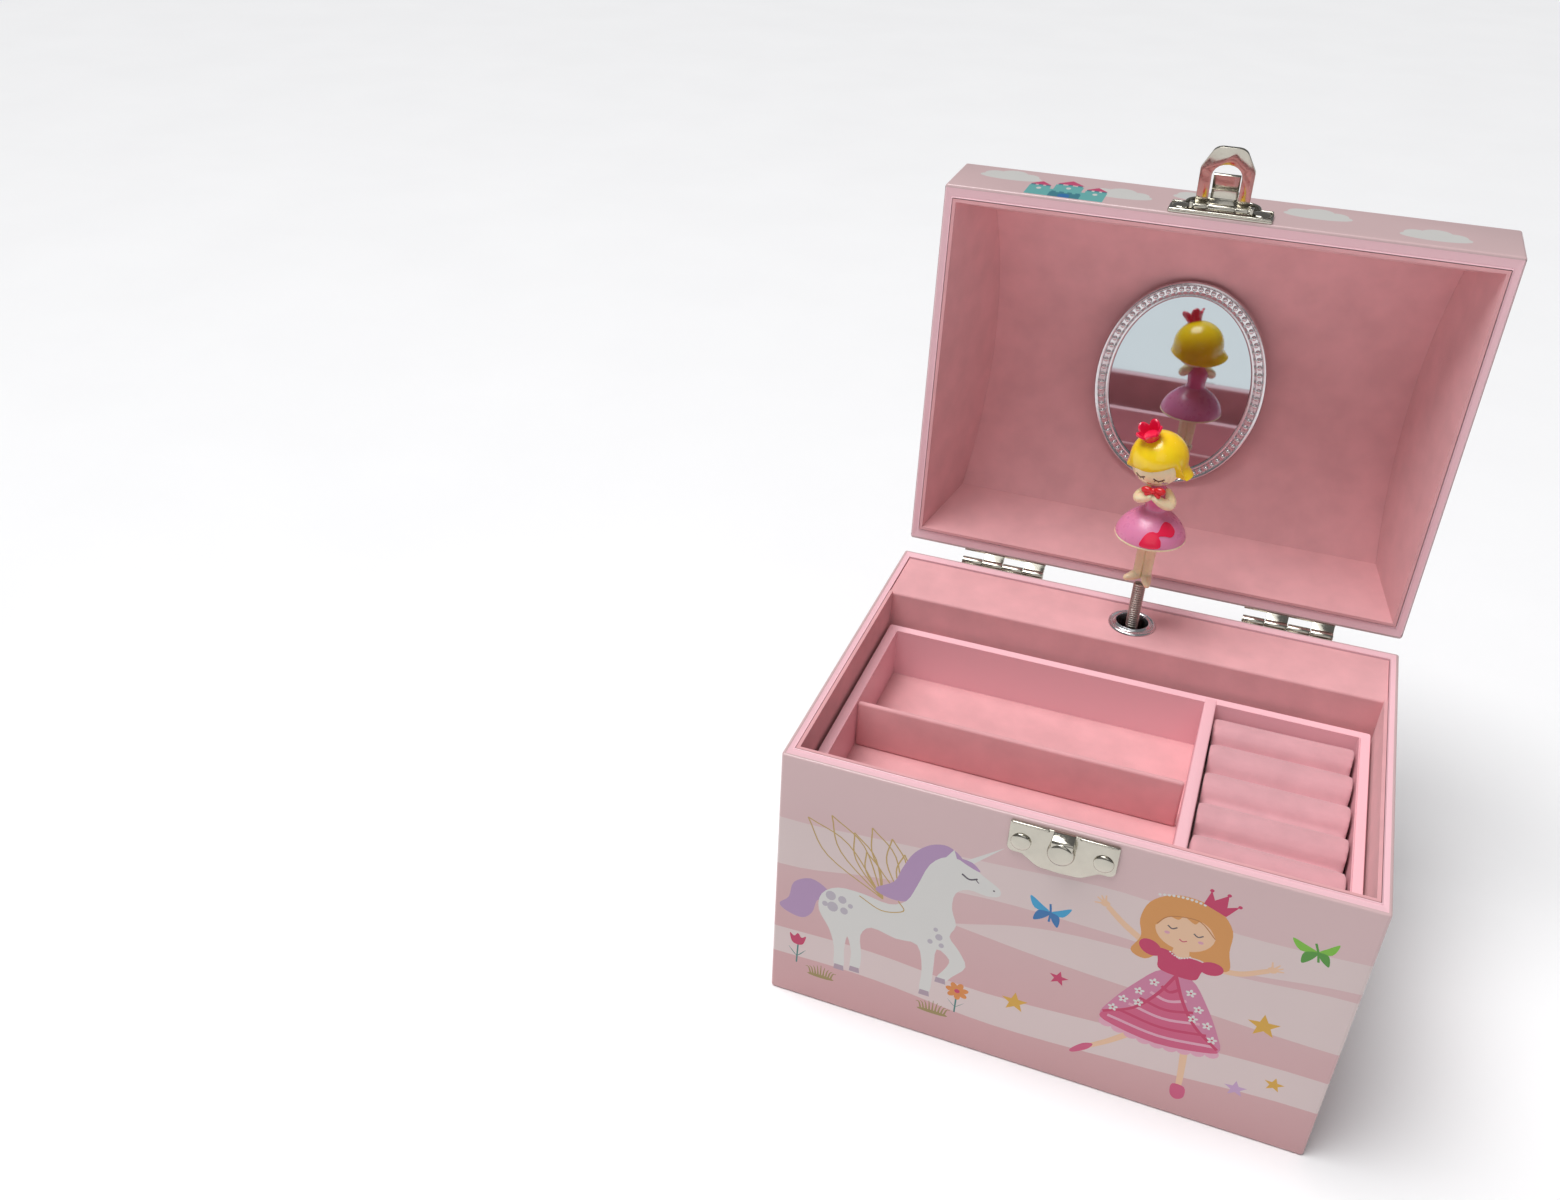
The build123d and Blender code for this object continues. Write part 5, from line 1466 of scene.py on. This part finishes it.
def figure_bodice():
    profile = [(0.3, 41.8), (3.3, 41.9), (3.0, 43.4), (3.3, 45.2), (3.5, 46.8), (3.1, 48.2), (2.0, 49.2),
               (1.7, 50.2), (0.3, 50.4)]
    add_piece("doll_bodice", on_figure(lathe(profile, sides=40)), "figure", "figure_pink", [BODICE],
              replaces=("figure_bodice",), angle=60)
    arms = []
    for side in (-1, 1):
        line = curve([(side * 2.8, -0.2, 48.0), (side * 4.5, -1.8, 46.6), (side * 4.8, -3.6, 45.8),
                      (side * 2.9, -5.6, 46.9), (side * 0.9, -6.4, 48.4)])
        radii = np.interp(np.linspace(0, 1, len(line)), [0, 0.3, 0.6, 1], [1.35, 1.6, 1.65, 1.25])
        arms.append(tube(line, radii, sides=16))
    add_piece("doll_arms", on_figure(joined(arms)), "figure", "figure_cream", [CREAM], angle=60)
    bow = [ball((side * 1.9, -6.7, 50.7 + 0.3 * side), (1.8, 1.0, 1.2)) for side in (-1, 1)]
    bow.append(ball((0, -7.1, 50.7), (0.9, 0.9, 1.0)))
    bow += [tube([(side * 0.5, -6.9, 50.2), (side * 1.8, -7.0, 49.4)], [0.6, 0.75], sides=12)
            for side in (-1, 1)]
    add_piece("doll_bow", on_figure(joined(bow)), "figure", "figure_red", [BOW_RED], replaces=("figure_bow",),
              angle=60)


HEAD = np.array((-2.0, 0.0, 57.0))
HEAD_R = 7.6


def figure_head():
    shape = moved(ball((0, 0, 0), (HEAD_R, HEAD_R * 0.97, HEAD_R * 0.96), sides=48), HEAD)
    add_piece("doll_head", on_figure(shape), "figure", "figure_cream", [CREAM], replaces=("figure_head",),
              angle=60)
    lines = []
    for side in (-1, 1):
        x, z = side * 2.8, -2.9
        lines += stroke([(x - 1.5, z + 0.35), (x, z - 0.45), (x + 1.5, z + 0.35)], 0.42, "ink_dark")
        for k in (-1, 0, 1):
            foot = x + 0.9 * k
            lash = [(foot, z - 0.3 + 0.2 * abs(k)), (foot + 0.35 * k, z - 1.15 + 0.15 * abs(k))]
            lines += stroke(lash, 0.28, "ink_dark", 0.1, smooth=False)
    mouth = stroke([(-0.7, -5.0), (0, -5.3), (0.7, -5.0)], 0.32, "magenta")
    cheeks = oval(-4.3, -4.4, 0.8, 0.5, "petal", sides=14) + oval(4.3, -4.4, 0.8, 0.5, "petal", sides=14)
    for name, layers, material in (("doll_eyes", lines, LASH), ("doll_mouth", mouth, BOW_RED),
                                   ("doll_cheeks", cheeks, INKS["petal"])):
        flat_points, triangles, _, _ = inked((rectangle(-7, 7, -7, 7), None), layers)
        unit = np.stack([flat_points[:, 0], -np.sqrt(HEAD_R ** 2 - (flat_points ** 2).sum(axis=1)),
                         flat_points[:, 1]], axis=1) / HEAD_R
        size = np.array((HEAD_R, HEAD_R * 0.97, HEAD_R * 0.96))
        shape = closed_sheet(HEAD + unit * (size + 0.06), HEAD + unit * (size - 0.2), triangles)
        add_piece(name, on_figure(shape), "figure", "figure_cream", [material], angle=60)


def figure_hair():
    """A smooth bob: a cap whose edge is a side-swept fringe in front and flicks out at the sides."""
    across_steps, down_steps = 96, 26
    rings_out, rings_in = [], []
    for j in range(down_steps + 1):
        t = j / down_steps
        ring_out, ring_in = [], []
        for i in range(across_steps):
            angle = 2 * math.pi * i / across_steps
            front = (1 + math.cos(angle)) / 2                 # 1 in front, 0 behind
            side = math.sin(angle)                            # 1 at her left, -1 at her right
            fringe = 95 - 16 * side + 2 * math.cos(3 * angle)
            nape = 122 - 14 * side ** 2
            open_face = min(1.0, max(0.0, (front - 0.66) / 0.16))
            blend_in = open_face ** 2 * (3 - 2 * open_face)
            limit = math.radians(nape + (fringe - nape) * blend_in)
            polar = max(0.02, t * limit)
            flick = max(0.0, (t - 0.84) / 0.16) ** 2 * (1 - blend_in) * (0.9 + 0.9 * abs(side) + 0.9 * side)
            parting = 0.25 * math.exp(-((math.degrees(angle) - 330) / 18) ** 2) * t
            radius = 8.5 + 0.1 * math.sin(polar) - parting + flick
            heading = (math.sin(angle), -math.cos(angle))
            centre = HEAD + (0, 0.8, 1.1)
            out = (math.sin(polar) * heading[0], math.sin(polar) * heading[1], math.cos(polar))
            ring_out.append(centre + np.array(out) * (radius, radius, radius * 0.98))
            ring_in.append(HEAD + np.array(out) * (HEAD_R - 0.5))
        rings_out.append(ring_out)
        rings_in.append(ring_in)
    rings = rings_out + rings_in[::-1]
    add_piece("doll_hair", on_figure(rings_joined(rings)), "figure", "figure_yellow", [YELLOW],
              replaces=("figure_hair",), angle=75)


def figure_crown():
    """An open crown of five round points, tipped to her right."""
    sections = []
    sides = 60
    for i in range(sides):
        angle = 2 * math.pi * i / sides
        lift = abs(math.cos(2.5 * angle)) ** 0.8
        top, flare = 1.9 + 1.7 * lift, 3.2 + 0.9 * lift
        outline = [(2.2, 0.0), (2.6, 0.0), (2.9, 1.0), (flare, top - 0.4), (flare - 0.25, top),
                   (flare - 0.7, top - 0.1), (2.3, 1.0)]
        sections.append([(r * math.cos(angle), r * math.sin(angle), h) for r, h in outline])
    base = lathe([(0.2, -0.8), (2.4, -0.8), (2.5, 0.5), (0.2, 0.6)], sides=40)
    tilt = turn_about(Y, -18) @ turn_about(X, 26)
    shape = moved(joined([loop_band(sections), base]), HEAD + (-2.7, -2.4, 8.7), turn=tilt)
    add_piece("doll_crown", on_figure(shape), "figure", "figure_red", [CRIMSON], replaces=("figure_crown",),
              angle=50)


# ---- materials of the CAD nodes that stay -------------------------------------------
def dress_cad():
    dress = {SUEDE: ("liner_front", "liner_sides", "tray_ledges", "tray_floor", "lid_liner_long",
                     "lid_liner_ends", "lid_ceiling"),
             NICKEL: ("hinge_pins", "latch_pin", "handle_washers",
                      "handle_wire", "winding_key"),
             STEEL: ("winding_arbor", "mainspring", "spindle_shaft", "music_comb", "governor_pinion",
                     "movement_screws"),
             BRASS: ("movement_plate", "bearing_brackets", "spring_barrel", "spindle_pinion",
                     "music_cylinder", "cylinder_wheels"),
             FAN: ("governor_fan",),
             MIRROR: ("mirror_glass",),
             BASE_PAPER: ("body_floor",)}
    for material, nodes in dress.items():
        for node in nodes:
            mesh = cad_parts[node].data
            mesh.materials.clear()
            mesh.materials.append(material)


# ---- floor, light and camera --------------------------------------------------------
def studio():
    scene = bpy.context.scene
    mesh = bpy.data.meshes.new("floor")
    reach = 30.0
    mesh.from_pydata([(-reach, -reach, -0.0002), (reach, -reach, -0.0002), (reach, reach, -0.0002),
                      (-reach, reach, -0.0002)], [], [(0, 1, 2, 3)])
    mesh.materials.append(finish("floor_paper", (252, 252, 253), roughness=0.7, grain=3.0, mottle=0.01,
                                 patch=90))
    floor = bpy.data.objects.new("floor", mesh)
    scene.collection.objects.link(floor)

    world = bpy.data.worlds.new("studio")
    world.use_nodes = True
    world.node_tree.nodes["Background"].inputs["Color"].default_value = (0.97, 0.98, 1.0, 1)
    world.node_tree.nodes["Background"].inputs["Strength"].default_value = 0.17
    scene.world = world
    sun = bpy.data.lights.new("overhead", "SUN")
    sun.energy = 2.45
    sun.angle = math.radians(40)
    add_light(sun, (-0.5, -0.22, 1.6))
    box = bpy.data.lights.new("softbox", "AREA")
    box.shape = "RECTANGLE"
    box.size, box.size_y = 0.9, 0.5
    box.energy = 2.0
    add_light(box, (-0.25, -0.25, 1.15))

    fill = bpy.data.lights.new("fill", "AREA")
    fill.size = 0.9
    fill.energy = 1.4
    add_light(fill, (0.2, -1.2, 0.85))

    data = bpy.data.cameras.new("camera")
    data.sensor_width = 36
    data.lens = 32.718
    data.shift_x, data.shift_y = 0.03736, 0.01107
    data.clip_start = 0.01
    camera = bpy.data.objects.new("camera", data)
    camera.location = (0.02116, -0.35743, 0.34252)
    camera.rotation_euler = [math.radians(a) for a in (56.843, -0.737, 22.535)]
    scene.collection.objects.link(camera)
    scene.camera = camera
    scene.view_settings.view_transform = "Standard"


def add_light(light, place):
    lamp = bpy.data.objects.new(light.name, light)
    lamp.location = place
    lamp.rotation_euler = (-Vector(place)).to_track_quat("-Z", "Y").to_euler()
    bpy.context.scene.collection.objects.link(lamp)


# ---- everything -------------------------------------------------------------------
dress_cad()
studio()
body_paper()
body_shell()
platform_cover()
tray_boards()
ring_rolls()
lid_paper()
lid_end_papers()
lid_rim()
mirror_frame()
pearl_handle()
screws()
latch_plates()
latch_movers()
hinge_leaves()
eyelet()
coil_spring()
figure_legs()
figure_skirt()
figure_bodice()
figure_head()
figure_hair()
figure_crown()
